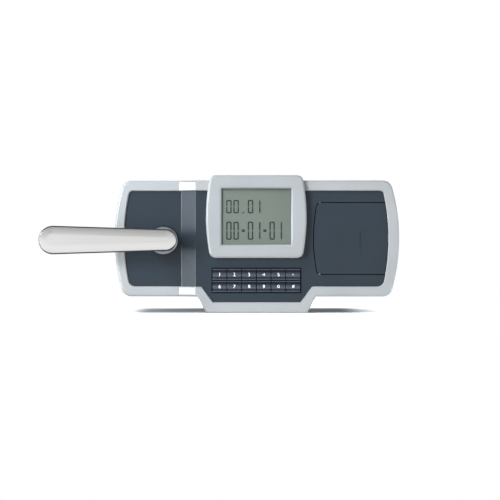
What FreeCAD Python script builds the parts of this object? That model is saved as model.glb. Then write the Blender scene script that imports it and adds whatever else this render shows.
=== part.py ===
import FreeCAD, Part
import math
import os

os.makedirs("parts", exist_ok=True)

# Electronic safe lock unit: a lever handle at the left, a display and a keypad in the middle
# and a battery bay under a flush cover at the right, all in one housing for a safe door.
# Lengths are in millimetres. X runs to the right, Z up, and the front faces -Y.
# Y = 0 is the door's outer face, so every "front" below is a distance out from the door.
# The origin is the centre of the four door bolts.

# Outline of the silver frame, seen from the front
frame_band_left = 8.6
frame_band_right = 9.7
frame_half_height = 51.35
frame_side_radius = 165.0
frame_corner = 9.0
bulge_root_half = 52.4
bulge_tip_half = 44.7
bulge_bottom = 66.0

# Outline of the opening in the frame, through which the dark fascia shows
opening_top = 42.3
opening_bottom = 42.5
opening_side_radius = 190.0
opening_corner_top = 4.0
opening_corner_bottom = 6.5
opening_bulge_root_half = 49.0
opening_bulge_tip_half = 38.8
opening_bulge_bottom = 56.4

# Depths of the housing: the handle part is lower than the electronics part, with a slope between
front_low = 18.0
front_high = 24.0
slope_left_x = -68.7
slope_right_x = -54.3
fascia_slope_left_x = -66.5
fascia_slope_right_x = -54.1
band_t = 2.0
wall_t = 2.5
fascia_t = 2.2
fascia_overlap = 2.2
plate_t = 2.0
front_edge_radius = 2.0
inner_edge_chamfer = 0.7
fit_gap = 0.3
touch_gap = 0.1
press_slack = 0.01
far = 300.0
tolerance = 0.01

# Screws and posts
screw_r = 1.4
screw_head_r = 2.8
screw_head_t = 1.6
screw_length = 10.0
screw_slack = 0.05
drive_width = 2.6
drive_slot = 0.7
drive_depth = 0.8
pillar_r = 3.4
pillar_sink = 0.6
corner_pillar_in = 22.2
top_pillar_x = 47.0
bulge_pillar_x = 30.0
post_r = 3.0
left_post_in = 20.2
left_post_z = 27.0
middle_post_x = -48.5
middle_post_z = 33.0
right_post_x = 82.0
right_post_z = 39.2
small_screw_r = 1.15
small_head_r = 2.2
small_head_t = 1.4
small_screw_length = 6.0
small_drive_width = 2.2
small_drive_slot = 0.6
small_drive_depth = 0.7
board_screw_length = 5.2
box_screw_length = 5.4

# Door bolts: self-clinching nuts in the mounting plate
door_bolt_in = 31.2
door_bolt_spacing_z = 76.0
nut_bore_r = 1.65
nut_shank_r = 2.7
nut_flange_r = 4.0
nut_height = 3.2

# Cable outlet through the plate
outlet_x = 25.0
outlet_z = -34.0
outlet_r = 4.0
grommet_wall = 1.6
grommet_lip = 1.6
grommet_lip_t = 1.5

# Display
display_x = -0.5
display_z = 19.35
display_half_width = 44.2
display_half_height = 36.35
display_side_radius = 180.0
display_corner = 6.0
display_front = 30.0
display_wall = 2.0
display_edge_radius = 2.2
hood_reach = 4.0
window_width = 61.2
window_height = 49.5
window_chamfer = 1.5
window_lap = 1.5
window_t = 1.2
lcd_lap = 2.6
lcd_t = 2.7
holder_lap = 3.0
holder_wall = 1.4
zebra_t = 2.0
zebra_length = 56.0
display_screw_x = 39.0
display_screw_up = 14.6
display_screw_down = 28.4
display_boss_r = 2.6

# Keypad: two rows of six keys
key_columns = 6
key_rows = 2
key_pitch_x = 13.0
key_pitch_z = 10.6
key_width = 12.1
key_height = 9.5
key_slack = 0.2
key_proud = 1.0
key_crown = 0.8
key_flange = 0.25
key_flange_t = 0.8
key_travel = 1.0
keypad_x = -0.2
keypad_z = -37.15
keypad_rim = 0.5
keypad_sunk = 0.8
keypad_flange = 2.4
keypad_flange_t = 0.8
mat_t = 1.0
mat_pad = 5.0

# Circuit board
board_t = 1.6
board_half_width = 43.0
board_top = 46.5
board_bottom = 51.0
board_post_r = 2.6
board_post_x = 39.5
board_post_top = 43.0
board_post_bottom = -16.5
leg_pitch = 1.27
leg_width = 0.4
leg_reach = 1.0
leg_t = 0.3
chip_lift = 0.1
chips = ((0.0, 12.0, 10.0, 14.0, 2.2), (20.0, 14.0, 5.0, 7.0, 1.7), (-18.0, -12.0, 5.0, 7.0, 1.7))
capacitor_places = ((15.0, 32.0), (25.0, 32.0), (-12.0, 34.0))
capacitor_r = 3.1
capacitor_t = 7.5
buzzer_x = -20.0
buzzer_z = -36.0
buzzer_r = 6.0
buzzer_t = 7.0
buzzer_hole_r = 1.2
buzzer_hole_t = 2.0
socket_up = 18.0
socket_width = 12.4
socket_height = 5.8
socket_t = 6.5
socket_wall = 0.8
socket_floor = 1.5

# Battery bay for four AA cells side by side
cell_d = 14.5
cell_length = 49.5
cell_nub_r = 2.75
cell_nub_t = 1.0
cell_pitch = 14.9
bay_step = 0.4
cell_count = 4
spring_length = 5.0
spring_wire = 0.7
spring_big_r = 4.4
spring_small_r = 3.2
spring_turns = 3
contact_t = 0.3
contact_width = 9.0
blade_width = 5.0
blade_lap = 4.0
blade_gap = 0.05
dimple_t = 0.5
bay_wall = 1.4
bay_floor = 1.2
bay_slack = 0.15
rib_height = 3.0
rib_short = 3.0
ear_r = 3.0
ear_t = 1.8
ear_left_in = 3.7
ear_right_in = 4.9
ear_z = 37.5
ear_drop = 4.0
rim_reach = 2.0
rim_floor = 0.8

# Battery cover, hinged at its left edge
cover_groove = 0.8
cover_beside_display = 6.5
cover_half_height = 31.8
cover_side_radius = 150.0
cover_corner = 3.3
cover_right_gap = 0.5
hinge_inset = 5.3
hinge_barrel_r = 1.5
hinge_pin_r = 0.6
hinge_bore_slack = 0.06
hinge_pin_hold = 2.6
hinge_lug_t = 2.4
grip_right_in = 7.6
grip_width = 17.2
grip_top = 6.5
grip_bottom = -8.4
grip_depth = 0.3
tab_t = 1.0
tab_width = 12.0
tab_length = 3.6
tab_margin = 0.9
catch_t = 0.4
catch_width = 8.0
catch_gap = 0.5
catch_room = 1.0
catch_bump_r = 0.8
catch_bump_in = 2.0

# Handle
spindle_x = -82.9
spindle_z = -1.65
spindle_side = 8.0
spindle_slack = 0.05
spindle_back = 38.0
spindle_room = 16.0
lever_front = 60.0
lever_t = 9.0
lever_crown = 1.5
lever_tip_x = -174.9
lever_tip_r = 12.7
lever_hub_x = -78.4
lever_hub_r = 9.3
lever_edge = 1.3
neck_r = 9.0
neck_swell = 1.5
neck_slim = 0.9
neck_sink = 2.0
neck_lean = 0.6
rose_r = 13.2
rose_t = 4.0
rose_slack = 0.4
rose_edge = 1.5
journal_r = 7.0
journal_slack = 0.05
bush_wall = 2.4
bush_flange = 2.2
bush_flange_t = 1.2
clip_t = 1.0
clip_reach = 1.8
clip_depth = 0.8
clip_play = 0.05
clip_opening = 4.0
journal_extra = 0.9
journal_sink = 1.0
grub_r = 2.5
grub_front = 30.0
grub_sink = 1.2
grub_gap = 0.02
grub_socket_r = 1.25
grub_socket_t = 1.6

# Cam disc, stop and return spring behind the fascia
cam_r = 18.0
cam_t = 2.6
cam_front = 10.2
cam_hub_r = 6.5
cam_hub_slack = 0.06
handle_travel = 60.0
stop_angle = 120.0
stop_reach = 13.0
stop_r = 2.5
stop_slack = 0.2
stop_shank_r = 1.5
cam_pin_r = 1.5
cam_pin_reach = 12.5
cam_pin_angle = 200.0
return_r = 8.2
return_wire = 1.0
return_gap = 0.1
return_end_gap = 0.5
return_least_turns = 2

# Blocking solenoid
plunger_r = 2.5
plunger_slack = 0.05
plunger_throw = 3.5
plunger_gap = 0.5
notch_slack = 0.25
notch_extra = 0.5
solenoid_left = -61.5
solenoid_length = 17.5
solenoid_width = 12.0
solenoid_depth = 11.0
solenoid_sheet = 1.2
solenoid_off_plate = 0.6
plunger_tail = 3.0
plunger_bore_r = 0.8
plunger_bore_t = 4.0
solenoid_spacer = 1.2
bobbin_t = 1.0
bobbin_reach = 0.4

# Sizes that follow from the ones above
door_y = 0.0
plate_y = -plate_t
fascia_low_y = -front_low + band_t
fascia_low_back = fascia_low_y + fascia_t
fascia_y = -front_high + band_t
fascia_back = fascia_y + fascia_t

# From the display to the right: the cover's left edge, its hinge, the bay and its tab, then the frame's end
cover_left = display_x + display_half_width + cover_beside_display
cover_edge_x = cover_left + cover_groove / 2
cover_edge_z = cover_half_height - cover_groove / 2
hole_edge_x = cover_left - cover_groove / 2
hole_edge_z = cover_half_height + cover_groove / 2
hinge_x = cover_edge_x + hinge_inset
hinge_y = fascia_y + hinge_barrel_r
hinge_half = cover_edge_z - cover_corner
bay_inner_length = cell_length + cell_nub_t + spring_length + dimple_t + 2 * contact_t
bay_x0 = hinge_x + bay_step
bay_x1 = bay_x0 + bay_inner_length
tab_x = bay_x1 + bay_wall + fit_gap
opening_right = tab_x + tab_t + tab_margin
frame_half_width = opening_right + frame_band_right
opening_left = frame_half_width - frame_band_left
corner_pillar_x = frame_half_width - corner_pillar_in
left_post_x = left_post_in - frame_half_width
door_bolt_x = frame_half_width - door_bolt_in
grip_right = opening_right - grip_right_in
grip_left = grip_right - grip_width


def vec(x, y, z):
    return FreeCAD.Vector(x, y, z)


def block(x0, x1, y0, y1, z0, z1):
    return Part.makeBox(x1 - x0, y1 - y0, z1 - z0, vec(x0, y0, z0))


def rod_y(x, z, r, y0, y1):
    return Part.makeCylinder(r, y1 - y0, vec(x, y0, z), vec(0, 1, 0))


def rod_x(y, z, r, x0, x1):
    return Part.makeCylinder(r, x1 - x0, vec(x0, y, z), vec(1, 0, 0))


def rod_z(x, y, r, z0, z1):
    return Part.makeCylinder(r, z1 - z0, vec(x, y, z0), vec(0, 0, 1))


def group(shapes):
    return Part.makeCompound(shapes)


def save(name, shape):
    shape.exportStep("parts/" + name + ".step")
    print(name, "solids", len(shape.Solids), "volume", round(shape.Volume, 2), "valid", shape.isValid())


def prism(edges, y0, y1):
    """Closed outline in the plane Y = 0, pushed from y0 to y1."""
    face = Part.Face(Part.Wire(Part.__sortEdges__(edges)))
    solid = face.extrude(vec(0, y1 - y0, 0))
    solid.translate(vec(0, y0, 0))
    return solid


def line(a, b):
    return Part.LineSegment(vec(a[0], 0, a[1]), vec(b[0], 0, b[1])).toShape()


def arc(a, mid, b):
    return Part.Arc(vec(a[0], 0, a[1]), vec(mid[0], 0, mid[1]), vec(b[0], 0, b[1])).toShape()


def round_corners(solid, corners, radius):
    """Round the edges that run along Y through the given points (x, z)."""
    chosen = []
    for edge in solid.Edges:
        ends = [v.Point for v in edge.Vertexes]
        if len(ends) != 2 or abs(ends[0].y - ends[1].y) < tolerance:
            continue
        for x, z in corners:
            if all(abs(p.x - x) < tolerance and abs(p.z - z) < tolerance for p in ends):
                chosen.append(edge)
    return solid.makeFillet(radius, chosen)


def bow(radius, half):
    return radius - math.sqrt(radius**2 - half**2)


# A panel outline is a dictionary: flat top and bottom, bowed ends, and a bulge below
frame_outline = {
    "left": -frame_half_width,
    "right": frame_half_width,
    "top": frame_half_height,
    "bottom": -frame_half_height,
    "radius": frame_side_radius,
    "corner_top": frame_corner,
    "corner_bottom": frame_corner,
    "root": bulge_root_half,
    "tip": bulge_tip_half,
    "floor": -bulge_bottom,
}
opening_outline = {
    "left": -opening_left,
    "right": opening_right,
    "top": opening_top,
    "bottom": -opening_bottom,
    "radius": opening_side_radius,
    "corner_top": opening_corner_top,
    "corner_bottom": opening_corner_bottom,
    "root": opening_bulge_root_half,
    "tip": opening_bulge_tip_half,
    "floor": -opening_bulge_bottom,
}


def inset(o, d):
    """The outline d inside this one, or outside it where d is negative."""
    lean = (o["root"] - o["tip"]) / (o["bottom"] - o["floor"])
    shift = d * lean - d * math.sqrt(1 + lean**2)
    return {
        "left": o["left"] + d,
        "right": o["right"] - d,
        "top": o["top"] - d,
        "bottom": o["bottom"] + d,
        "radius": o["radius"] - d,
        "corner_top": max(o["corner_top"] - d, 1.0),
        "corner_bottom": max(o["corner_bottom"] - d, 1.0),
        "root": o["root"] + shift,
        "tip": o["tip"] + shift,
        "floor": o["floor"] + d,
    }


def panel(o, y0, y1):
    half = (o["top"] - o["bottom"]) / 2
    middle = (o["top"] + o["bottom"]) / 2
    side = bow(o["radius"], half)
    top_left = (o["left"] + side, o["top"])
    top_right = (o["right"] - side, o["top"])
    low_left = (o["left"] + side, o["bottom"])
    low_right = (o["right"] - side, o["bottom"])
    floor_right = (o["tip"], o["floor"])
    floor_left = (-o["tip"], o["floor"])
    root_right = (o["root"], o["bottom"])
    root_left = (-o["root"], o["bottom"])
    edges = [
        line(top_left, top_right),
        arc(top_right, (o["right"], middle), low_right),
        line(low_right, root_right),
        line(root_right, floor_right),
        line(floor_right, floor_left),
        line(floor_left, root_left),
        line(root_left, low_left),
        arc(low_left, (o["left"], middle), top_left),
    ]
    solid = prism(edges, y0, y1)
    solid = round_corners(solid, [top_left, top_right], o["corner_top"])
    return round_corners(solid, [low_left, low_right], o["corner_bottom"])


def step_layer(left_x, right_x, near, back):
    """What lies behind the two-level front, moved back by near, down to back or to the door if back is None."""
    front = [(-far, near - front_low), (left_x, near - front_low)]
    front += [(right_x, near - front_high), (far, near - front_high)]
    if back is None:
        rear = [(far, door_y), (-far, door_y)]
    else:
        rear = [(x, y + back) for x, y in reversed(front)]
    points = [vec(x, y, -far) for x, y in front + rear]
    face = Part.Face(Part.makePolygon(points + points[:1]))
    return face.extrude(vec(0, 0, 2 * far))


def frame_layer(near, back=None):
    return step_layer(slope_left_x, slope_right_x, near, back)


def fascia_layer(near, back):
    return step_layer(fascia_slope_left_x, fascia_slope_right_x, near, back)


def front_depth(x):
    """How far the frame's front stands out from the door at x."""
    share = (x - slope_left_x) / (slope_right_x - slope_left_x)
    return front_low + (front_high - front_low) * min(max(share, 0.0), 1.0)


def bowed_plate(x, z, half_width, half_height, radius, corner, y0, y1):
    side = bow(radius, half_height)
    signs = ((-1, 1), (1, 1), (1, -1), (-1, -1))
    corners = [(x + i * (half_width - side), z + j * half_height) for i, j in signs]
    edges = [
        line(corners[0], corners[1]),
        arc(corners[1], (x + half_width, z), corners[2]),
        line(corners[2], corners[3]),
        arc(corners[3], (x - half_width, z), corners[0]),
    ]
    return round_corners(prism(edges, y0, y1), corners, corner)


def centred_block(x, z, width, height, y0, y1):
    return block(x - width / 2, x + width / 2, y0, y1, z - height / 2, z + height / 2)


# Places of pillars, posts and bolts, all as (x, z)
wall_inside = frame_half_height - wall_t
pillar_in = pillar_r - pillar_sink
corner_pillars = [(i * corner_pillar_x, j * (wall_inside - pillar_in)) for i in (-1, 1) for j in (-1, 1)]
top_pillars = [(i * top_pillar_x, wall_inside - pillar_in) for i in (-1, 1)]
bulge_pillars = [(i * bulge_pillar_x, -bulge_bottom + wall_t + pillar_in) for i in (-1, 1)]
frame_pillars = corner_pillars + top_pillars + bulge_pillars
fascia_posts = [(left_post_x, i * left_post_z) for i in (-1, 1)]
fascia_posts += [(middle_post_x, i * middle_post_z) for i in (-1, 1)]
fascia_posts += [(right_post_x, i * right_post_z) for i in (-1, 1)]
door_bolts = [(i * door_bolt_x, j * door_bolt_spacing_z / 2) for i in (-1, 1) for j in (-1, 1)]
board_posts = [(display_x + i * board_post_x, z) for i in (-1, 1) for z in (board_post_top, board_post_bottom)]
display_screw_z = (display_z + display_screw_up, display_z - display_screw_down)
display_screws = [(display_x + i * display_screw_x, z) for i in (-1, 1) for z in display_screw_z]
bay_ears = [(x, i * ear_z) for x in (bay_x0 + ear_left_in, bay_x1 - ear_right_in) for i in (-1, 1)]

# Display stack, from the front backwards
window_front = -display_front + display_wall
window_back = window_front + window_t
lcd_front = window_back + touch_gap
lcd_back = lcd_front + lcd_t
window_size = (window_width + 2 * window_lap, window_height + 2 * window_lap)
lcd_size = (window_width + 2 * lcd_lap, window_height + 2 * lcd_lap)
holder_size = (window_width + 2 * holder_lap, window_height + 2 * holder_lap)
well_size = (holder_size[0] + 2 * fit_gap, holder_size[1] + 2 * fit_gap)

# Keypad stack, from the front backwards
keypad_width = key_columns * key_pitch_x + 2 * keypad_rim
keypad_height = key_rows * key_pitch_z + 2 * keypad_rim
keypad_back = fascia_back + keypad_flange_t
flange_front = keypad_back + touch_gap
key_back = flange_front + key_flange_t
mat_front = key_back + key_travel + touch_gap
board_front = mat_front + mat_t
board_back = board_front + board_t

# Battery bay
bay_half = cell_count * cell_pitch / 2 + bay_slack
bay_floor_y = plate_y - fit_gap
cell_y = bay_floor_y - bay_floor - bay_slack - cell_d / 2
bay_top_y = fascia_back + touch_gap
trough_y = hinge_y + math.hypot(hinge_inset, fascia_back - hinge_y) + fit_gap
trough_x = hinge_x + hinge_barrel_r + fit_gap
tab_room_y = fascia_back + tab_length + fit_gap
rim_back_y = max(tab_room_y, trough_y) + rim_floor
rim_half = hole_edge_z + rim_reach
rim_x0 = hole_edge_x - rim_reach
rim_x1 = opening_right + fascia_overlap

# Handle
neck_end_y = fascia_low_y - fit_gap
bush_r = journal_r + journal_slack + bush_wall
bush_back = fascia_low_back + bush_flange_t
clip_y = bush_back + fit_gap
journal_end = clip_y + clip_t + journal_extra
cam_back_y = -cam_front + cam_t
cam_mid_y = -cam_front + cam_t / 2
socket_half = spindle_side / 2 + spindle_slack
spindle_front = -lever_front + lever_t + spindle_room


def around_spindle(radius, degrees):
    a = math.radians(degrees)
    return spindle_x + radius * math.cos(a), spindle_z + radius * math.sin(a)


def square_y(half, y0, y1):
    return block(spindle_x - half, spindle_x + half, y0, y1, spindle_z - half, spindle_z + half)


def biarc(p0, t0, p1, t1):
    """Two arcs that join p0 to p1 and have the directions t0 and t1 at their ends."""
    chord = p1 - p0
    both = t0 + t1
    a = 2 * (t0.dot(t1) - 1)
    b = -2 * chord.dot(both)
    c = chord.dot(chord)
    if abs(a) < 1e-9:
        reach = -c / b
    else:
        reach = (-b - math.sqrt(b * b - 4 * a * c)) / (2 * a)
        if reach < 0:
            reach = (-b + math.sqrt(b * b - 4 * a * c)) / (2 * a)
    q0 = p0 + t0 * reach
    q1 = p1 - t1 * reach
    joint = (q0 + q1) * 0.5
    return [bent(p0, q0, joint), bent(joint, q1, p1)]


def bent(start, apex, end):
    """The arc that touches start-apex at start and apex-end at end."""
    middle = (start + end) * 0.5
    half = (end - start).Length / 2
    rise = (apex - middle).Length
    leg = math.hypot(half, rise)
    top = middle + (apex - middle) * (half * (leg - half) / rise**2)
    return Part.Arc(start, top, end).toShape()


def coil_edges(centre, u, v, w, radius0, radius1, length, angle0, sweep):
    """A coil about the line through centre along w. It climbs by length while it turns by sweep."""
    count = max(2, round(abs(sweep) / (math.pi / 2)))

    def place(i):
        share = i / count
        angle = angle0 + sweep * share
        radius = radius0 + (radius1 - radius0) * share
        out = u * math.cos(angle) + v * math.sin(angle)
        side = v * math.cos(angle) - u * math.sin(angle)
        heading = side * (radius * sweep) + out * (radius1 - radius0) + w * length
        heading.normalize()
        return centre + out * radius + w * (length * share), heading

    edges = []
    for i in range(count):
        p0, t0 = place(i)
        p1, t1 = place(i + 1)
        edges += biarc(p0, t0, p1, t1)
    return edges, place(0), place(count)


def wire_solid(edges, start, heading, radius):
    path = Part.Wire(edges)
    section = Part.Wire(Part.Circle(start, heading, radius).toShape())
    pipe = Part.BRepOffsetAPI.MakePipeShell(path)
    pipe.add(section)
    pipe.build()
    pipe.makeSolid()
    return pipe.shape()


def front_edges(body):
    """The edges on the frame's front, each with its end points."""
    found = []
    for edge in body.Edges:
        ends = [v.Point for v in edge.Vertexes]
        if all(abs(p.y + front_depth(p.x)) < tolerance for p in ends):
            found.append((edge, ends))
    return found


def make_outer_frame():
    body = panel(frame_outline, -front_high, door_y).common(frame_layer(0.0))
    rim = []
    for edge, ends in front_edges(body):
        crease = all(abs(p.x - ends[0].x) < tolerance for p in ends) and edge.Length > frame_half_height
        if not crease:
            rim.append(edge)
    body = body.makeFillet(front_edge_radius, rim)
    hollow = panel(inset(frame_outline, wall_t), -front_high, door_y).common(frame_layer(band_t))
    body = body.cut(hollow)
    body = body.cut(panel(opening_outline, -far, door_y))
    inner = []
    for edge, ends in front_edges(body):
        inside = all(-opening_bulge_bottom - tolerance < p.z < opening_top + tolerance for p in ends)
        if inside and all(abs(p.x) < opening_left + tolerance for p in ends):
            inner.append(edge)
    body = body.makeChamfer(inner_edge_chamfer, inner)
    well_half = well_size[0] / 2
    well_top = display_z + well_size[1] / 2
    body = body.cut(block(display_x - well_half, display_x + well_half, -far, board_front, 0, well_top))
    for x, z in frame_pillars:
        pillar = rod_y(x, z, pillar_r, -front_depth(x) + band_t, plate_y)
        pilot = rod_y(x, z, screw_r + screw_slack, -screw_length - screw_slack, plate_y)
        body = body.fuse(pillar).cut(pilot)
    return body.removeSplitter()


def make_cover_area(edge_x, edge_z, corner, right_outline, y0, y1):
    """The cover's outline: a bowed left edge, a level top and bottom, and the frame's curve at the right."""
    middle = opening_right
    whole = bowed_plate(middle, 0, middle - edge_x, edge_z, cover_side_radius, corner, y0, y1)
    return whole.common(panel(right_outline, y0, y1))


def make_cover_hole(y0, y1):
    return make_cover_area(hole_edge_x, hole_edge_z, cover_corner + cover_groove, opening_outline, y0, y1)


def make_fascia():
    outline = inset(opening_outline, -fascia_overlap)
    body = panel(outline, -front_high, door_y).common(fascia_layer(band_t, fascia_t))
    body = body.cut(rod_y(spindle_x, spindle_z, bush_r + screw_slack, -far, far))
    body = body.cut(centred_block(display_x, display_z, well_size[0], well_size[1], -far, door_y))
    hole_w = keypad_width + 2 * key_slack
    hole_h = keypad_height + 2 * key_slack
    body = body.cut(centred_block(keypad_x, keypad_z, hole_w, hole_h, -far, door_y))
    body = body.cut(make_cover_hole(-front_high, door_y))
    for x, z in frame_pillars:
        body = body.cut(rod_y(x, z, pillar_r + fit_gap, -far, door_y))
    for x, z in fascia_posts:
        back = fascia_low_back if x < slope_left_x else fascia_back
        post = rod_y(x, z, post_r, back - fascia_t / 2, plate_y)
        body = body.fuse(post).cut(rod_y(x, z, screw_r + screw_slack, -screw_length - screw_slack, plate_y))
    for x, z in board_posts:
        post = rod_y(x, z, board_post_r, fascia_back - fascia_t / 2, board_front)
        body = body.fuse(post).cut(rod_y(x, z, small_screw_r + screw_slack, fascia_back, board_front))
    for x, z in bay_ears:
        boss = rod_y(x, z, ear_r, fascia_back - fascia_t / 2, fascia_back + ear_drop)
        pilot = rod_y(x, z, small_screw_r + screw_slack, fascia_back, fascia_back + ear_drop)
        body = body.fuse(boss).cut(pilot)
    for side in (-1, 1):
        low, high = sorted((side * hole_edge_z, side * (hole_edge_z + hinge_pin_hold)))
        left = hinge_x - hinge_barrel_r
        right = hinge_x + hinge_barrel_r
        body = body.fuse(block(left, right, fascia_back - fascia_t / 2, hinge_y + hinge_lug_t, low, high))
    pin_reach = hole_edge_z + hinge_pin_hold
    body = body.cut(rod_z(hinge_x, hinge_y, hinge_pin_r + screw_slack, -pin_reach, pin_reach))
    for x, z in display_screws:
        body = body.cut(rod_y(x, z, small_screw_r + screw_slack, -far, door_y))
    return body.removeSplitter()


def make_mounting_plate():
    body = panel(inset(frame_outline, wall_t + fit_gap), plate_y, door_y)
    for x, z in frame_pillars + fascia_posts:
        body = body.cut(countersunk_hole(x, z))
    for x, z in door_bolts:
        body = body.cut(rod_y(x, z, nut_shank_r + press_slack, plate_y, door_y))
    body = body.cut(rod_y(spindle_x, spindle_z, cam_hub_r + cam_hub_slack, plate_y, door_y))
    body = body.cut(rod_y(outlet_x, outlet_z, outlet_r + grommet_wall, plate_y, door_y))
    x, z = around_spindle(stop_reach, stop_angle)
    body = body.cut(rod_y(x, z, stop_shank_r + press_slack, plate_y, door_y))
    for x, z in solenoid_screw_places():
        body = body.cut(countersunk_hole(x, z))
    return body


def countersunk_hole(x, z):
    cone = Part.makeCone(
        screw_r + screw_slack,
        screw_head_r + screw_slack,
        screw_head_t,
        vec(x, door_y - screw_head_t, z),
        vec(0, 1, 0),
    )
    return cone.fuse(rod_y(x, z, screw_r + screw_slack, plate_y, door_y))


def cross_drive(x, z, width, slot, y0, y1):
    return centred_block(x, z, width, slot, y0, y1).fuse(centred_block(x, z, slot, width, y0, y1))


def flat_screw(x, z, length):
    head = Part.makeCone(screw_r, screw_head_r, screw_head_t, vec(x, door_y - screw_head_t, z), vec(0, 1, 0))
    shank = rod_y(x, z, screw_r, -length, door_y - screw_head_t)
    return head.fuse(shank).cut(cross_drive(x, z, drive_width, drive_slot, door_y - drive_depth, door_y))


def pan_screw(x, z, seat_y, length):
    """A screw whose head lies behind seat_y and whose shank runs forwards from it."""
    head = rod_y(x, z, small_head_r, seat_y, seat_y + small_head_t)
    shank = rod_y(x, z, small_screw_r, seat_y - length, seat_y)
    top = seat_y + small_head_t
    drive = cross_drive(x, z, small_drive_width, small_drive_slot, top - small_drive_depth, top)
    return head.fuse(shank).cut(drive)


def make_clinch_nut(x, z):
    flange = rod_y(x, z, nut_flange_r, plate_y - nut_height, plate_y)
    shank = rod_y(x, z, nut_shank_r, plate_y, door_y)
    return flange.fuse(shank).cut(rod_y(x, z, nut_bore_r, plate_y - nut_height, door_y))


def make_grommet():
    neck = outlet_r + grommet_wall
    lip = neck + grommet_lip
    inner = rod_y(outlet_x, outlet_z, lip, plate_y - grommet_lip_t, plate_y)
    core = rod_y(outlet_x, outlet_z, neck - press_slack, plate_y, door_y)
    return inner.fuse(core).cut(rod_y(outlet_x, outlet_z, outlet_r, plate_y - grommet_lip_t, door_y))


def make_display_bezel():
    body = bowed_plate(
        display_x,
        display_z,
        display_half_width,
        display_half_height,
        display_side_radius,
        display_corner,
        -display_front,
        -front_high + hood_reach,
    )
    rim = [e for e in body.Edges if all(abs(v.Point.y + display_front) < tolerance for v in e.Vertexes)]
    body = body.makeFillet(display_edge_radius, rim)
    step = opening_top - inner_edge_chamfer
    body = body.cut(block(-far, far, fascia_y, door_y, -far, step))
    body = body.cut(block(-far, far, -front_high, door_y, step, frame_half_height + fit_gap))
    body = body.cut(centred_block(display_x, display_z, window_width, window_height, -far, door_y))
    body = body.cut(window_bevel())
    seat = centred_block(
        display_x, display_z, window_size[0] + 2 * touch_gap, window_size[1] + 2 * touch_gap, window_front, door_y
    )
    well = centred_block(display_x, display_z, well_size[0], well_size[1], window_back, door_y)
    body = body.cut(seat).cut(well)
    well_edge = well_size[0] / 2 + display_wall
    outer_edge = display_half_width - display_wall - bow(display_side_radius, display_half_height)
    for side in (-1, 1):
        low = min(side * well_edge, side * outer_edge) + display_x
        high = max(side * well_edge, side * outer_edge) + display_x
        z0 = display_screw_z[1] + display_boss_r + display_wall
        z1 = display_screw_z[0] - display_boss_r - display_wall
        body = body.cut(block(low, high, window_front, door_y, z0, z1))
    for x, z in display_screws:
        body = body.cut(rod_y(x, z, small_screw_r + screw_slack, fascia_back - small_screw_length, door_y))
    return body.removeSplitter()


def window_bevel():
    """The sloping edge round the window, as a flat pyramid that is cut away."""
    wide = (window_width / 2 + window_chamfer, window_height / 2 + window_chamfer)
    narrow = (window_width / 2, window_height / 2)
    wires = []
    for half, y in ((wide, -display_front), (narrow, -display_front + window_chamfer)):
        corners = [(-half[0], -half[1]), (half[0], -half[1]), (half[0], half[1]), (-half[0], half[1])]
        points = [vec(display_x + a, y, display_z + b) for a, b in corners]
        wires.append(Part.makePolygon(points + points[:1]))
    return Part.makeLoft(wires, True, True)


def make_display_window():
    return centred_block(display_x, display_z, window_size[0], window_size[1], window_front, window_back)


def make_lcd_panel():
    joint = lcd_front + lcd_t / 2
    front_glass = centred_block(display_x, display_z, lcd_size[0], lcd_size[1], lcd_front, joint)
    rear_height = lcd_size[1] - 2 * zebra_t
    rear_glass = centred_block(display_x, display_z, lcd_size[0], rear_height, joint, lcd_back)
    return front_glass.fuse(rear_glass).removeSplitter()


def zebra_places():
    return [display_z + i * (lcd_size[1] / 2 - zebra_t / 2) for i in (-1, 1)]


def make_lcd_holder():
    body = centred_block(display_x, display_z, holder_size[0], holder_size[1], lcd_back, board_front)
    light_w = holder_size[0] - 4 * holder_wall
    light_h = lcd_size[1] - 2 * zebra_t - 2 * holder_wall
    room = centred_block(display_x, display_z, light_w, light_h, lcd_back, board_front - holder_wall)
    body = body.cut(room)
    for z in zebra_places():
        slot = centred_block(
            display_x, z, zebra_length + 2 * touch_gap, zebra_t + 2 * touch_gap, lcd_back, board_front
        )
        body = body.cut(slot)
    return body


def make_zebra_strips():
    front = lcd_front + lcd_t / 2
    return group([centred_block(display_x, z, zebra_length, zebra_t, front, board_front) for z in zebra_places()])


def key_centre(column, row):
    x = keypad_x + (column - (key_columns - 1) / 2) * key_pitch_x
    return x, keypad_z + ((key_rows - 1) / 2 - row) * key_pitch_z


def make_keypad_frame():
    front = fascia_y + keypad_sunk
    body = centred_block(keypad_x, keypad_z, keypad_width, keypad_height, front, fascia_back)
    flange_w = keypad_width + 2 * keypad_flange
    flange_h = keypad_height + 2 * keypad_flange
    body = body.fuse(centred_block(keypad_x, keypad_z, flange_w, flange_h, fascia_back, keypad_back))
    for column in range(key_columns):
        for row in range(key_rows):
            x, z = key_centre(column, row)
            body = body.cut(
                centred_block(x, z, key_width + 2 * key_slack, key_height + 2 * key_slack, front, keypad_back)
            )
    return body.removeSplitter()


def make_key(column, row):
    """A key with a barrel-shaped top and a flange that keeps it behind the keypad frame."""
    x, z = key_centre(column, row)
    top = fascia_y - key_proud
    half = key_height / 2
    crown = Part.Arc(vec(x, top, z - half), vec(x, top - key_crown, z), vec(x, top, z + half)).toShape()
    corners = [vec(x, top, z + half), vec(x, key_back, z + half)]
    corners += [vec(x, key_back, z - half), vec(x, top, z - half)]
    sides = [Part.LineSegment(a, b).toShape() for a, b in zip(corners, corners[1:])]
    face = Part.Face(Part.Wire([crown] + sides))
    face.translate(vec(-key_width / 2, 0, 0))
    body = face.extrude(vec(key_width, 0, 0))
    flange = centred_block(
        x, z, key_width + 2 * (key_slack + key_flange / 2), key_height + 2 * (key_slack + key_flange),
        flange_front, key_back,
    )
    return body.fuse(flange).removeSplitter()


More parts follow.
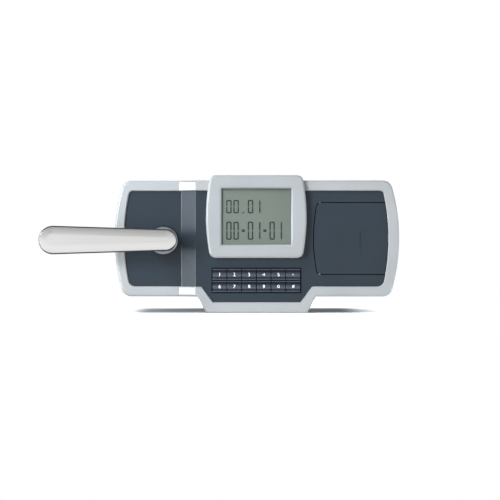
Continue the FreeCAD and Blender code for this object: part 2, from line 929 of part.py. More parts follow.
def make_keypad_mat():
    base = centred_block(
        keypad_x, keypad_z, keypad_width + keypad_flange, keypad_height + keypad_flange, mat_front, board_front
    )
    for column in range(key_columns):
        for row in range(key_rows):
            x, z = key_centre(column, row)
            base = base.fuse(centred_block(x, z, mat_pad, mat_pad, key_back + touch_gap / 2, mat_front))
    return base.removeSplitter()


def make_main_board():
    left = display_x - board_half_width
    right = display_x + board_half_width
    body = block(left, right, board_front, board_back, -board_bottom, board_top)
    for x, z in board_posts:
        body = body.cut(rod_y(x, z, small_screw_r + screw_slack, board_front, board_back))
    return body


def chip(x, z, width, height, thick):
    """A chip on the back of the board, with a row of legs at each side."""
    body = centred_block(x, z, width, height, board_back + chip_lift, board_back + thick)
    legs = int(height / leg_pitch) - 1
    for i in range(legs):
        leg_z = z + (i - (legs - 1) / 2) * leg_pitch
        legs_wide = width + 2 * leg_reach
        body = body.fuse(centred_block(x, leg_z, legs_wide, leg_width, board_back, board_back + leg_t))
    return body.removeSplitter()


def make_board_chips():
    return group([chip(display_x + x, z, width, height, thick) for x, z, width, height, thick in chips])


def make_board_capacitors():
    end = board_back + capacitor_t
    return group([rod_y(display_x + x, z, capacitor_r, board_back, end) for x, z in capacitor_places])


def make_buzzer():
    x = display_x + buzzer_x
    end = board_back + buzzer_t
    body = rod_y(x, buzzer_z, buzzer_r, board_back, end)
    return body.cut(rod_y(x, buzzer_z, buzzer_hole_r, end - buzzer_hole_t, end))


def make_cable_socket():
    z = outlet_z + socket_up
    end = board_back + socket_t
    wide = socket_width - 2 * socket_wall
    high = socket_height - 2 * socket_wall
    body = centred_block(outlet_x, z, socket_width, socket_height, board_back, end)
    return body.cut(centred_block(outlet_x, z, wide, high, board_back + socket_floor, end))


def make_battery_box():
    """A bay for the cells, with a rim behind the fascia's hole and ears for its screws."""
    outer_half = bay_half + bay_wall
    inner_floor = bay_floor_y - bay_floor
    body = block(bay_x0 - bay_wall, bay_x1 + bay_wall, bay_top_y, bay_floor_y, -outer_half, outer_half)
    rim = block(rim_x0, rim_x1, fascia_back, rim_back_y, -rim_half, rim_half)
    body = body.fuse(rim.cut(make_cover_hole(fascia_back, trough_y)))
    body = body.cut(block(hole_edge_x, trough_x, fascia_back, trough_y, -hole_edge_z, hole_edge_z))
    body = body.cut(block(bay_x0, bay_x1, -far, inner_floor, -bay_half, bay_half))
    for i in range(1, cell_count):
        z = (i - cell_count / 2) * cell_pitch
        low, high = z - cell_pitch / 2, z + cell_pitch / 2
        rib = block(bay_x0 + rib_short, bay_x1 - rib_short, inner_floor - rib_height, inner_floor, low, high)
        for side in (low, high):
            rib = rib.cut(rod_x(cell_y, side, cell_d / 2 + bay_slack, bay_x0, bay_x1))
        body = body.fuse(rib)
    ear_front = fascia_back + ear_drop
    for x, z in bay_ears:
        low, high = sorted((z, math.copysign(bay_half + bay_wall / 2, z)))
        ear = rod_y(x, z, ear_r, ear_front, ear_front + ear_t)
        ear = ear.fuse(block(x - ear_r, x + ear_r, ear_front, ear_front + ear_t, low, high))
        body = body.fuse(ear).cut(rod_y(x, z, small_screw_r + screw_slack, ear_front, ear_front + ear_t))
    lug_left = hinge_x - hinge_barrel_r - fit_gap
    lug_back = hinge_y + hinge_lug_t + fit_gap
    for side in (-1, 1):
        low, high = sorted((side * bay_half, side * (rim_half + fit_gap)))
        body = body.cut(block(lug_left, trough_x, fascia_back, lug_back, low, high))
    flex = tab_x + tab_t + catch_gap + catch_t + catch_room
    half = tab_width / 2 + fit_gap
    body = body.cut(block(bay_x1 + bay_wall, flex, fascia_back, tab_room_y, -half, half))
    half = blade_width / 2 + fit_gap
    for z in blade_places():
        body = body.cut(block(rim_x0, bay_x0, board_back, board_back + 2 * contact_t, z - half, z + half))
    return body.removeSplitter()


def cell_z(i):
    return (i - (cell_count - 1) / 2) * cell_pitch


def blade_places():
    return [cell_z(0), cell_z(cell_count - 1)]


def make_cell(i):
    """One cell. Even cells have their button end at the right, and odd ones at the left."""
    z = cell_z(i)
    left = bay_x0 + contact_t + dimple_t
    right = bay_x1 - contact_t - dimple_t
    if i % 2 == 0:
        can = rod_x(cell_y, z, cell_d / 2, right - cell_nub_t - cell_length, right - cell_nub_t)
        return can.fuse(rod_x(cell_y, z, cell_nub_r, right - cell_nub_t, right))
    can = rod_x(cell_y, z, cell_d / 2, left + cell_nub_t, left + cell_nub_t + cell_length)
    return can.fuse(rod_x(cell_y, z, cell_nub_r, left, left + cell_nub_t))


def make_battery_spring(i):
    """A tapered coil between the flat end of a cell and its contact."""
    z = cell_z(i)
    ends = spring_wire / 2 + touch_gap / 2
    length = spring_length - 2 * ends
    if i % 2 == 0:
        base, along = bay_x0 + contact_t + ends, vec(1, 0, 0)
    else:
        base, along = bay_x1 - contact_t - ends, vec(-1, 0, 0)
    edges, first, last = coil_edges(
        vec(base, cell_y, z),
        vec(0, 1, 0),
        vec(0, 0, 1),
        along,
        spring_big_r,
        spring_small_r,
        length,
        0.0,
        2 * math.pi * spring_turns,
    )
    return wire_solid(edges, first[0], first[1], spring_wire / 2)


def make_battery_contacts():
    """Plates at both ends of the bay join the cells in one chain, and two blades reach the board."""
    half = contact_width / 2
    low = cell_y - half
    high = cell_y + half
    left = bay_x0 + contact_t
    right = bay_x1 - contact_t
    board_edge = display_x + board_half_width
    solids = [block(bay_x0, left, low, high, cell_z(1) - half, cell_z(2) + half)]
    for a, b in ((0, 1), (2, 3)):
        solids.append(block(right, bay_x1, low, high, cell_z(a) - half, cell_z(b) + half))
    for z in blade_places():
        blade = block(
            board_edge - blade_lap, left, board_back + blade_gap, board_back + blade_gap + contact_t,
            z - blade_width / 2, z + blade_width / 2,
        )
        solids.append(block(bay_x0, left, low, high, z - half, z + half).fuse(blade).removeSplitter())
    for i in range(cell_count):
        button = (right - dimple_t, right) if i % 2 == 0 else (left, left + dimple_t)
        bump = rod_x(cell_y, cell_z(i), cell_nub_r, *button)
        carrier = min(solids, key=lambda solid: solid.distToShape(bump)[0])
        solids[solids.index(carrier)] = carrier.fuse(bump).removeSplitter()
    return group(solids)


def make_battery_cover():
    """A flush lid with a hinge barrel behind its left edge, a tab at its right and a shallow finger pad."""
    right = inset(opening_outline, cover_right_gap)
    body = make_cover_area(cover_edge_x, cover_edge_z, cover_corner, right, fascia_y, fascia_back)
    body = body.fuse(rod_z(hinge_x, hinge_y, hinge_barrel_r, -hinge_half, hinge_half))
    body = body.cut(rod_z(hinge_x, hinge_y, hinge_pin_r + hinge_bore_slack, -far, far))
    half = tab_width / 2
    tab_end = fascia_back + tab_length
    body = body.fuse(block(tab_x, tab_x + tab_t, fascia_back - fascia_t / 2, tab_end, -half, half))
    body = body.cut(catch_bump(touch_gap))
    body = body.cut(block(grip_left, grip_right, fascia_y, fascia_y + grip_depth, grip_bottom, grip_top))
    return body.removeSplitter()


def catch_bump(slack):
    """The bump on the catch, or with some slack the groove that it drops into."""
    half = catch_width / 2 + slack
    x = tab_x + tab_t + catch_gap
    return rod_z(x, fascia_back + catch_bump_in, catch_bump_r + slack, -half, half)


def make_cover_catch():
    """A leaf spring with a bump that drops into the cover's tab."""
    half = catch_width / 2
    x = tab_x + tab_t + catch_gap
    leaf = block(x, x + catch_t, fascia_back + touch_gap, tab_room_y, -half, half)
    bump = catch_bump(0.0).common(block(-far, x + catch_t, -far, far, -far, far))
    return leaf.fuse(bump).removeSplitter()


def make_hinge_pin():
    reach = hole_edge_z + hinge_pin_hold
    return rod_z(hinge_x, hinge_y, hinge_pin_r, -reach, reach)


def ring_section(centre_x, y, half_x, half_z):
    """A closed oval across the handle's neck."""
    points = []
    for i in range(16):
        a = 2 * math.pi * i / 16
        points.append(vec(centre_x + half_x * math.cos(a), y, spindle_z + half_z * math.sin(a)))
    curve = Part.BSplineCurve()
    curve.interpolate(Points=points, PeriodicFlag=True)
    return Part.Wire(curve.toShape())


def make_lever():
    """A flat bar with round ends and a crowned face, on a neck that turns in the rose."""
    back = -lever_front + lever_t
    tip = (lever_tip_x, spindle_z)
    hub = (lever_hub_x, spindle_z)
    lean = math.asin((lever_tip_r - lever_hub_r) / (lever_hub_x - lever_tip_x))
    rise = (math.sin(lean), math.cos(lean))
    tip_up = (tip[0] + lever_tip_r * rise[0], tip[1] + lever_tip_r * rise[1])
    tip_down = (tip_up[0], 2 * spindle_z - tip_up[1])
    hub_up = (hub[0] + lever_hub_r * rise[0], hub[1] + lever_hub_r * rise[1])
    hub_down = (hub_up[0], 2 * spindle_z - hub_up[1])
    edges = [
        line(tip_up, hub_up),
        arc(hub_up, (hub[0] + lever_hub_r, hub[1]), hub_down),
        line(hub_down, tip_down),
        arc(tip_down, (tip[0] - lever_tip_r, tip[1]), tip_up),
    ]
    bar = prism(edges, -lever_front, back)
    half = lever_tip_r + fit_gap
    low, high = spindle_z - half, spindle_z + half
    left = tip[0] - lever_tip_r - fit_gap
    crown = Part.Arc(
        vec(left, -lever_front + lever_crown, low),
        vec(left, -lever_front, spindle_z),
        vec(left, -lever_front + lever_crown, high),
    ).toShape()
    corners = [
        vec(left, -lever_front + lever_crown, high),
        vec(left, back + fit_gap, high),
        vec(left, back + fit_gap, low),
        vec(left, -lever_front + lever_crown, low),
    ]
    sides = [Part.LineSegment(a, b).toShape() for a, b in zip(corners, corners[1:])]
    envelope = Part.Face(Part.Wire([crown] + sides)).extrude(vec(lever_hub_x + 2 * lever_hub_r - left, 0, 0))
    bar = bar.common(envelope).removeSplitter()
    rim = []
    for edge in bar.Edges:
        ends = [v.Point for v in edge.Vertexes]
        on_face = max(p.y for p in ends) < -lever_front + lever_crown + touch_gap
        if on_face or min(p.y for p in ends) > back - tolerance:
            rim.append(edge)
    bar = bar.makeFillet(lever_edge, rim)
    lean_x = lever_hub_x - spindle_x
    straight_y = -front_low - rose_t
    end_y = back - neck_sink
    wires = [ring_section(spindle_x, neck_end_y, neck_r, neck_r)]
    for share in (0.0, 1 / 3, 2 / 3, 1.0):
        ease = share**2
        y = straight_y + (end_y - straight_y) * share
        slim = neck_r * (1 - (1 - neck_slim) * ease)
        wires.append(ring_section(spindle_x + lean_x * neck_lean * ease, y, neck_r + neck_swell * ease, slim))
    neck = Part.makeLoft(wires, True, False)
    body = bar.fuse(neck)
    body = body.fuse(rod_y(spindle_x, spindle_z, journal_r, neck_end_y - journal_sink, journal_end))
    groove = rod_y(spindle_x, spindle_z, 2 * journal_r, clip_y - clip_play, clip_y + clip_t + clip_play)
    groove = groove.cut(rod_y(spindle_x, spindle_z, journal_r - clip_depth, -far, far))
    body = body.cut(groove)
    body = body.cut(square_y(socket_half, spindle_front - spindle_slack, journal_end))
    body = body.cut(rod_z(spindle_x, -grub_front, grub_r + screw_slack, spindle_z - 2 * neck_r, spindle_z))
    return body.removeSplitter()


def make_grub_screw():
    foot = spindle_z - spindle_side / 2 - grub_gap
    end = spindle_z - neck_r + grub_sink
    body = rod_z(spindle_x, -grub_front, grub_r, end, foot)
    return body.cut(rod_z(spindle_x, -grub_front, grub_socket_r, end, end + grub_socket_t))


def make_rose():
    body = rod_y(spindle_x, spindle_z, rose_r, fascia_low_y - rose_t, fascia_low_y)
    rim = [e for e in body.Edges if e.Closed and e.BoundBox.YMax < fascia_low_y - rose_t + tolerance]
    body = body.makeFillet(rose_edge, rim)
    return body.cut(rod_y(spindle_x, spindle_z, neck_r + rose_slack, -far, far))


def make_spindle():
    return square_y(spindle_side / 2, spindle_front, spindle_back)


def make_bush():
    sleeve = rod_y(spindle_x, spindle_z, bush_r, fascia_low_y, fascia_low_back)
    flange = rod_y(spindle_x, spindle_z, bush_r + bush_flange, fascia_low_back, bush_back)
    return sleeve.fuse(flange).cut(rod_y(spindle_x, spindle_z, journal_r + journal_slack, -far, far))


def make_circlip():
    ring = rod_y(spindle_x, spindle_z, journal_r + clip_reach, clip_y, clip_y + clip_t)
    ring = ring.cut(rod_y(spindle_x, spindle_z, journal_r - clip_depth + clip_play, -far, far))
    half = clip_opening / 2
    return ring.cut(block(spindle_x - half, spindle_x + half, -far, far, spindle_z, spindle_z + far))


def make_cam_disc():
    """The disc has a slot for the stop, and notches for the plunger where it is closed and where it is open."""
    disc = rod_y(spindle_x, spindle_z, cam_r, -cam_front, cam_back_y)
    slot_half = stop_r + stop_slack
    ring = rod_y(spindle_x, spindle_z, stop_reach + slot_half, -cam_front, cam_back_y)
    ring = ring.cut(rod_y(spindle_x, spindle_z, stop_reach - slot_half, -cam_front, cam_back_y))
    first = stop_angle - handle_travel
    wedge = wedge_y(first, stop_angle, -cam_front, cam_back_y)
    disc = disc.cut(ring.common(wedge))
    for angle in (first, stop_angle):
        x, z = around_spindle(stop_reach, angle)
        disc = disc.cut(rod_y(x, z, slot_half, -cam_front, cam_back_y))
    notch_half = plunger_r + notch_slack
    notch_floor = cam_r + plunger_gap - plunger_throw - notch_extra
    for angle in (0.0, -handle_travel):
        notch = block(
            spindle_x + notch_floor, spindle_x + 2 * cam_r, -cam_front, cam_back_y,
            spindle_z - notch_half, spindle_z + notch_half,
        )
        notch.rotate(vec(spindle_x, 0, spindle_z), vec(0, -1, 0), angle)
        disc = disc.cut(notch)
    disc = disc.fuse(rod_y(spindle_x, spindle_z, cam_hub_r, cam_back_y, door_y - fit_gap))
    x, z = around_spindle(cam_pin_reach, cam_pin_angle)
    disc = disc.fuse(rod_y(x, z, cam_pin_r, cam_back_y, plate_y - fit_gap))
    return disc.cut(square_y(socket_half, -far, far)).removeSplitter()


def wedge_y(first, last, y0, y1):
    """A slice of pie about the spindle's line, from one angle to the other."""
    reach = 2 * cam_r
    a = around_spindle(reach, first)
    middle = around_spindle(reach, (first + last) / 2)
    b = around_spindle(reach, last)
    centre = (spindle_x, spindle_z)
    return prism([line(centre, a), arc(a, middle, b), line(b, centre)], y0, y1)


def make_stop_pin():
    x, z = around_spindle(stop_reach, stop_angle)
    body = rod_y(x, z, stop_r, -cam_front - touch_gap, plate_y)
    return body.fuse(rod_y(x, z, stop_shank_r, plate_y, door_y - touch_gap))


def leg_turn(pin_reach, pin_r):
    """How far round from the coil's end the pin stands that a straight leg leans on."""
    across = return_r - pin_r - return_wire / 2 - return_gap
    along = math.sqrt(pin_reach**2 - across**2)
    return math.atan2(along, across), along


def make_return_spring():
    """A torsion spring: one leg leans on the stop and the other on the cam's pin."""
    turn_a, along_a = leg_turn(stop_reach, stop_r)
    turn_b, along_b = leg_turn(cam_pin_reach, cam_pin_r)
    start = math.radians(stop_angle) - turn_a
    end = math.radians(cam_pin_angle) + turn_b
    sweep = start - end
    while sweep < 2 * math.pi * return_least_turns:
        sweep += 2 * math.pi
    near_plate = plate_y - return_wire / 2 - return_end_gap
    near_cam = cam_back_y + return_wire / 2 + return_end_gap
    edges, first, last = coil_edges(
        vec(spindle_x, near_plate, spindle_z),
        vec(1, 0, 0),
        vec(0, 0, 1),
        vec(0, -1, 0),
        return_r,
        return_r,
        near_plate - near_cam,
        start,
        -sweep,
    )
    leg_a = first[0] - first[1] * (along_a + stop_r / 2)
    leg_b = last[0] + last[1] * (along_b + cam_pin_r)
    path = [Part.LineSegment(leg_a, first[0]).toShape()] + edges
    path.append(Part.LineSegment(last[0], leg_b).toShape())
    gap = (near_plate - near_cam) / (sweep / (2 * math.pi)) - return_wire
    print("return spring: gap between turns", round(gap, 3))
    return wire_solid(path, leg_a, first[1], return_wire / 2)


# Solenoid: its plunger points at the cam disc's rim
solenoid_right = solenoid_left + solenoid_length
solenoid_back = plate_y - solenoid_off_plate
plunger_y = cam_mid_y
plunger_tip = spindle_x + cam_r + plunger_gap


def solenoid_screw_places():
    return [(solenoid_left + solenoid_length * share, spindle_z) for share in (0.25, 0.75)]


def make_solenoid_frame():
    """A U of sheet steel that holds the coil, with its base on spacers against the plate."""
    half = solenoid_width / 2
    front = plunger_y - solenoid_depth / 2
    body = block(
        solenoid_left, solenoid_right, solenoid_back - solenoid_sheet, solenoid_back,
        spindle_z - half, spindle_z + half,
    )
    for x in (solenoid_left, solenoid_right - solenoid_sheet):
        body = body.fuse(block(x, x + solenoid_sheet, front, solenoid_back, spindle_z - half, spindle_z + half))
    for x, z in solenoid_screw_places():
        body = body.fuse(rod_y(x, z, screw_r + solenoid_spacer, solenoid_back, plate_y))
        body = body.cut(rod_y(x, z, screw_r + screw_slack, solenoid_back - solenoid_sheet, plate_y))
    body = body.cut(rod_x(plunger_y, spindle_z, plunger_r + plunger_slack, -far, far))
    return body.removeSplitter()


def make_solenoid_coil():
    x0 = solenoid_left + solenoid_sheet
    x1 = solenoid_right - solenoid_sheet
    r = solenoid_back - solenoid_sheet - touch_gap - plunger_y
    body = rod_x(plunger_y, spindle_z, r - bobbin_reach, x0, x1)
    for x in (x0, x1 - bobbin_t):
        body = body.fuse(rod_x(plunger_y, spindle_z, r, x, x + bobbin_t))
    return body.cut(rod_x(plunger_y, spindle_z, plunger_r + plunger_slack, -far, far)).removeSplitter()


def make_plunger():
    end = solenoid_right + plunger_tail
    body = rod_x(plunger_y, spindle_z, plunger_r, plunger_tip, end)
    return body.cut(rod_x(plunger_y, spindle_z, plunger_bore_r, end - plunger_bore_t, end))


key_names = (("1", "2", "3", "4", "5", "star"), ("6", "7", "8", "9", "0", "hash"))

save("outer_frame", make_outer_frame())
save("fascia", make_fascia())
save("mounting_plate", make_mounting_plate())
save("clinch_nuts", group([make_clinch_nut(x, z) for x, z in door_bolts]))
save("plate_screws", group([flat_screw(x, z, screw_length) for x, z in frame_pillars + fascia_posts]))
save("cable_grommet", make_grommet())
save("display_bezel", make_display_bezel())
save("display_window", make_display_window())
save("lcd_panel", make_lcd_panel())
save("lcd_holder", make_lcd_holder())
save("zebra_strips", make_zebra_strips())
save("display_screws", group([pan_screw(x, z, fascia_back, small_screw_length) for x, z in display_screws]))
save("keypad_frame", make_keypad_frame())
save("keypad_mat", make_keypad_mat())
for row, names in enumerate(key_names):
    for column, name in enumerate(names):
        save("key_" + name, make_key(column, row))
save("main_board", make_main_board())
save("board_chips", make_board_chips())
save("board_capacitors", make_board_capacitors())
save("buzzer", make_buzzer())
save("cable_socket", make_cable_socket())
save("board_screws", group([pan_screw(x, z, board_back, board_screw_length) for x, z in board_posts]))
save("battery_box", make_battery_box())
ear_back = fascia_back + ear_drop + ear_t
save("battery_box_screws", group([pan_screw(x, z, ear_back, box_screw_length) for x, z in bay_ears]))
save("battery_cells", group([make_cell(i) for i in range(cell_count)]))
save("battery_springs", group([make_battery_spring(i) for i in range(cell_count)]))
save("battery_contacts", make_battery_contacts())
save("battery_cover", make_battery_cover())
save("cover_hinge_pin", make_hinge_pin())
save("cover_catch", make_cover_catch())
save("lever_handle", make_lever())
save("grub_screw", make_grub_screw())
save("handle_rose", make_rose())
save("spindle", make_spindle())
save("spindle_bush", make_bush())
save("circlip", make_circlip())
save("cam_disc", make_cam_disc())
save("stop_pin", make_stop_pin())
save("return_spring", make_return_spring())
save("solenoid_frame", make_solenoid_frame())
save("solenoid_coil", make_solenoid_coil())
save("blocking_plunger", make_plunger())
solenoid_screw_length = plate_t + solenoid_off_plate + solenoid_sheet
save("solenoid_screws", group([flat_screw(x, z, solenoid_screw_length) for x, z in solenoid_screw_places()]))
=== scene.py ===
import math

import bmesh
import bpy
from mathutils import Matrix, Vector


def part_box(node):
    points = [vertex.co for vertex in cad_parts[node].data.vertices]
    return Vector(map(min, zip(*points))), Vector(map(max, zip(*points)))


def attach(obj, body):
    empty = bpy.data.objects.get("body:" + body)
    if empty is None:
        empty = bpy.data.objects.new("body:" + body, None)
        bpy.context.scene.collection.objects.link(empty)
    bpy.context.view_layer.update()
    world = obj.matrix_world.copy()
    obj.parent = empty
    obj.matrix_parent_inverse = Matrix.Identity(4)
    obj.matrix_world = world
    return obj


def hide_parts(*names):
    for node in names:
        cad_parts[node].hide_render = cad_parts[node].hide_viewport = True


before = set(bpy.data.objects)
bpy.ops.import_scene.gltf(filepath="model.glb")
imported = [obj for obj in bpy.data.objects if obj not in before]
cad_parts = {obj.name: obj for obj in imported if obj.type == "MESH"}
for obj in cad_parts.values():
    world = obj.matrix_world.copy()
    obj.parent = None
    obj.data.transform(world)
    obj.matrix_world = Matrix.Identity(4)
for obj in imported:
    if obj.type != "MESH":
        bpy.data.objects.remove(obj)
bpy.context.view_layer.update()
mm = 0.001


def lin(hexColour):
    # sRGB hex to the linear values that shaders take
    parts = [int(hexColour[i:i + 2], 16) / 255 for i in (1, 3, 5)]
    return [c / 12.92 if c <= 0.04045 else ((c + 0.055) / 1.055) ** 2.4 for c in parts] + [1.0]


def addNode(tree, kind, inputs=None, links=None, ramp=(), **settings):
    # one node with its settings, its values, what feeds it and the stops of its colour ramp
    node = tree.nodes.new(kind)
    for name, value in settings.items():
        setattr(node, name, value)
    for name, value in (inputs or {}).items():
        node.inputs[name].default_value = value
    for name, source in (links or {}).items():
        tree.links.new(source, node.inputs[name])
    for i, (at, colour) in enumerate(ramp):
        stop = node.color_ramp.elements[i] if i < 2 else node.color_ramp.elements.new(at)
        stop.position = at
        stop.color = colour
    return node


def newMaterial(name):
    # a material with an empty tree, and the coordinates that its patterns read
    material = bpy.data.materials.new(name)
    material.use_nodes = True
    tree = material.node_tree
    tree.nodes.clear()
    return material, tree, addNode(tree, "ShaderNodeTexCoord").outputs["Object"]


def perMm(size):
    # texture scale for a feature of this many millimetres
    return 1 / (size * mm)


def noiseTo(low, high):
    # most of a noise lies between 0.3 and 0.7, and is spread from low to high
    return {"From Min": 0.3, "From Max": 0.7, "To Min": low, "To Max": high}


# Finishes: colour pair, roughness and grain for each real surface, and what most of them share
usual = {"metallic": 0.0, "shine": 0.5, "coat": 0.0, "coatRough": 0.1, "darkAt": 0.45, "lightAt": 1.0,
         "grainDeep": 0.2, "cloudMm": 40.0}
finishes = {
    "silverPaint": {  # satin silver lacquer on moulded ABS: soft metal sheen, flakes too fine to see singly
        "dark": "#959695", "light": "#9E9F9E", "metallic": 0.2, "roughness": 0.36, "roughSpread": 0.03,
        "grainMm": 0.5, "bump": 0.03, "coat": 0.25, "coatRough": 0.15,
    },
    "bezelPaint": {  # the same lacquer in a slightly darker tone on the raised display surround
        "dark": "#8B8C8B", "light": "#939493", "metallic": 0.04, "roughness": 0.36, "roughSpread": 0.03,
        "grainMm": 0.5, "bump": 0.03, "coat": 0.25, "coatRough": 0.15,
    },
    "slateMoulding": {  # slate ABS from a polished mould: dark, with a clear soft gloss
        "dark": "#21292F", "light": "#242C33", "roughness": 0.24, "roughSpread": 0.04, "shine": 0.35,
        "grainMm": 0.8, "bump": 0.02,
    },
    "keyPlastic": {  # ABS key caps in dark metallic lacquer: black where they look up, grey from the front
        "dark": "#595E68", "light": "#5F646F", "metallic": 0.9, "roughness": 0.28, "roughSpread": 0.05,
        "grainMm": 0.5, "bump": 0.03,
    },
    "keypadGrid": {  # the darker grid between the keys, same ABS
        "dark": "#12161E", "light": "#171C26", "roughness": 0.6, "roughSpread": 0.05, "shine": 0.1,
        "grainMm": 0.5, "bump": 0.03,
    },
    "blackAbs": {  # moulded black ABS with a fine spark grain
        "dark": "#17181A", "light": "#1F2022", "roughness": 0.5, "roughSpread": 0.1,
        "grainMm": 0.4, "bump": 0.2,
    },
    "zincPlate": {  # bright zinc on steel: pale, slightly blue and mottled
        "dark": "#A9ADB0", "light": "#C3C7C8", "metallic": 1.0, "roughness": 0.36, "roughSpread": 0.12,
        "grainMm": 3.0, "bump": 0.05,
    },
    "springSteel": {  # nickel-plated spring wire and strip
        "dark": "#9A9A98", "light": "#B0B0AE", "metallic": 1.0, "roughness": 0.25, "roughSpread": 0.08,
        "grainMm": 0.8, "bump": 0.05,
    },
    "contactBrass": {  # stamped brass strip with a thin flash of nickel
        "dark": "#B79A55", "light": "#CDB26C", "metallic": 1.0, "roughness": 0.3, "roughSpread": 0.1,
        "grainMm": 0.8, "bump": 0.06,
    },
    "siliconeMat": {  # grey silicone with a dusty, matt skin
        "dark": "#7B7D80", "light": "#87898C", "roughness": 0.7, "roughSpread": 0.08,
        "grainMm": 0.6, "bump": 0.1,
    },
    "blackRubber": {  # moulded nitrile rubber
        "dark": "#161616", "light": "#202020", "roughness": 0.65, "roughSpread": 0.1,
        "grainMm": 0.5, "bump": 0.15,
    },
    "naturalNylon": {  # unfilled nylon and acetal: ivory and waxy
        "dark": "#DAD6C8", "light": "#E6E2D6", "roughness": 0.42, "roughSpread": 0.06,
        "grainMm": 1.0, "bump": 0.04,
    },
    "chipEpoxy": {  # black moulded epoxy of a chip package
        "dark": "#151617", "light": "#1C1D1F", "roughness": 0.58, "roughSpread": 0.08,
        "grainMm": 0.3, "bump": 0.15,
    },
    "capacitorSleeve": {  # dark blue shrink sleeve over an aluminium can
        "dark": "#1E2740", "light": "#26304C", "roughness": 0.35, "roughSpread": 0.05,
        "grainMm": 1.0, "bump": 0.05, "coat": 0.3, "coatRough": 0.2,
    },
    "labelInk": {  # white pad-printed ink
        "dark": "#F0F1F3", "light": "#FAFAFC", "roughness": 0.5, "roughSpread": 0.05,
        "grainMm": 0.3, "bump": 0.05,
    },
    "segmentInk": {  # the dark state of a liquid crystal segment
        "dark": "#1A221E", "light": "#202824", "roughness": 0.6, "roughSpread": 0.05,
        "grainMm": 0.5, "bump": 0.0,
    },
}


def makeFinish(name):
    # fine noise moves the colour, the gloss and the surface a little, as on a real moulding or plating
    v = {**usual, **finishes[name]}
    material, tree, place = newMaterial(name)
    grain = addNode(tree, "ShaderNodeTexNoise",
                    {"Scale": perMm(v["grainMm"]), "Detail": 4.0, "Roughness": 0.6},
                    {"Vector": place}).outputs["Fac"]
    cloud = addNode(tree, "ShaderNodeTexNoise", {"Scale": perMm(v["cloudMm"]), "Detail": 2.0},
                    {"Vector": place}).outputs["Fac"]
    mixed = addNode(tree, "ShaderNodeMath", {1: 0.5}, {0: grain, 2: cloud}, operation="MULTIPLY_ADD")
    colour = addNode(tree, "ShaderNodeValToRGB", None, {"Fac": mixed.outputs[0]},
                     ramp=[(v["darkAt"], lin(v["dark"])), (v["lightAt"], lin(v["light"]))])
    rough = addNode(tree, "ShaderNodeMapRange",
                    noiseTo(v["roughness"] - v["roughSpread"], v["roughness"] + v["roughSpread"]),
                    {"Value": grain})
    relief = addNode(tree, "ShaderNodeBump",
                     {"Strength": v["bump"], "Distance": v["grainMm"] * v["grainDeep"] * mm},
                     {"Height": grain})
    shader = addNode(tree, "ShaderNodeBsdfPrincipled", {
        "Metallic": v["metallic"], "Coat Weight": v["coat"], "Coat Roughness": v["coatRough"],
        "Specular IOR Level": v["shine"],
    }, {
        "Base Color": colour.outputs["Color"], "Roughness": rough.outputs["Result"],
        "Normal": relief.outputs["Normal"],
    })
    addNode(tree, "ShaderNodeOutputMaterial", None, {"Surface": shader.outputs["BSDF"]})
    return material


materials = {name: makeFinish(name) for name in finishes}


# Satin nickel on a zinc casting: linished along the lever, so highlights run across it
nickel = {"dark": "#E6E1DC", "light": "#ECE7E2", "rough": (0.17, 0.22), "lineMm": 0.2, "lineLengthMm": 60,
          "bump": 0.02, "deepMm": 0.03,
          "paintedRimFrom": 0.12, "rimTo": 0.45, "paintedRimShade": 0.35}  # painted shade: the colour is darkened on the rolled edges as they turn from the view


def makeNickel():
    v = nickel
    material, tree, place = newMaterial("satinNickel")
    stretch = addNode(tree, "ShaderNodeMapping",
                      {"Scale": (1 / v["lineLengthMm"], 1 / v["lineMm"], 1 / v["lineMm"])},
                      {"Vector": place})
    lines = addNode(tree, "ShaderNodeTexNoise", {"Scale": perMm(1), "Detail": 3.0},
                    {"Vector": stretch.outputs[0]}).outputs["Fac"]
    colour = addNode(tree, "ShaderNodeValToRGB", None, {"Fac": lines},
                     ramp=[(0.3, lin(v["dark"])), (0.7, lin(v["light"]))])
    rough = addNode(tree, "ShaderNodeMapRange", noiseTo(*v["rough"]), {"Value": lines})
    relief = addNode(tree, "ShaderNodeBump", {"Strength": v["bump"], "Distance": v["deepMm"] * mm},
                     {"Height": lines})
    # painted shade: Layer Weight facing darkens the metal's colour where the edges turn away from the view
    facing = addNode(tree, "ShaderNodeLayerWeight", {"Blend": 0.5}).outputs["Facing"]
    rim = addNode(tree, "ShaderNodeMapRange", {
        "From Min": v["paintedRimFrom"], "From Max": v["rimTo"], "To Min": 1.0, "To Max": v["paintedRimShade"],
    }, {"Value": facing})
    withPaintedShade = addNode(tree, "ShaderNodeVectorMath", None,
                     {0: colour.outputs["Color"], "Scale": rim.outputs["Result"]}, operation="SCALE")
    shader = addNode(tree, "ShaderNodeBsdfPrincipled", {"Metallic": 1.0}, {
        "Base Color": withPaintedShade.outputs["Vector"], "Roughness": rough.outputs["Result"],
        "Normal": relief.outputs["Normal"],
    })
    addNode(tree, "ShaderNodeOutputMaterial", None, {"Surface": shader.outputs["BSDF"]})
    return material


# Polished chrome: almost a mirror, with a trace of orange peel from the polishing
chrome = {"colour": "#9EA1A4", "rough": (0.08, 0.16), "peelMm": 2.0, "bump": 0.05, "deepMm": 0.05}


def makeChrome():
    material, tree, place = newMaterial("polishedChrome")
    peel = addNode(tree, "ShaderNodeTexNoise", {"Scale": perMm(chrome["peelMm"]), "Detail": 2.0},
                   {"Vector": place}).outputs["Fac"]
    rough = addNode(tree, "ShaderNodeMapRange", noiseTo(*chrome["rough"]), {"Value": peel})
    relief = addNode(tree, "ShaderNodeBump", {"Strength": chrome["bump"], "Distance": chrome["deepMm"] * mm},
                     {"Height": peel})
    shader = addNode(tree, "ShaderNodeBsdfPrincipled",
                     {"Metallic": 1.0, "Base Color": lin(chrome["colour"])},
                     {"Roughness": rough.outputs["Result"], "Normal": relief.outputs["Normal"]})
    addNode(tree, "ShaderNodeOutputMaterial", None, {"Surface": shader.outputs["BSDF"]})
    return material


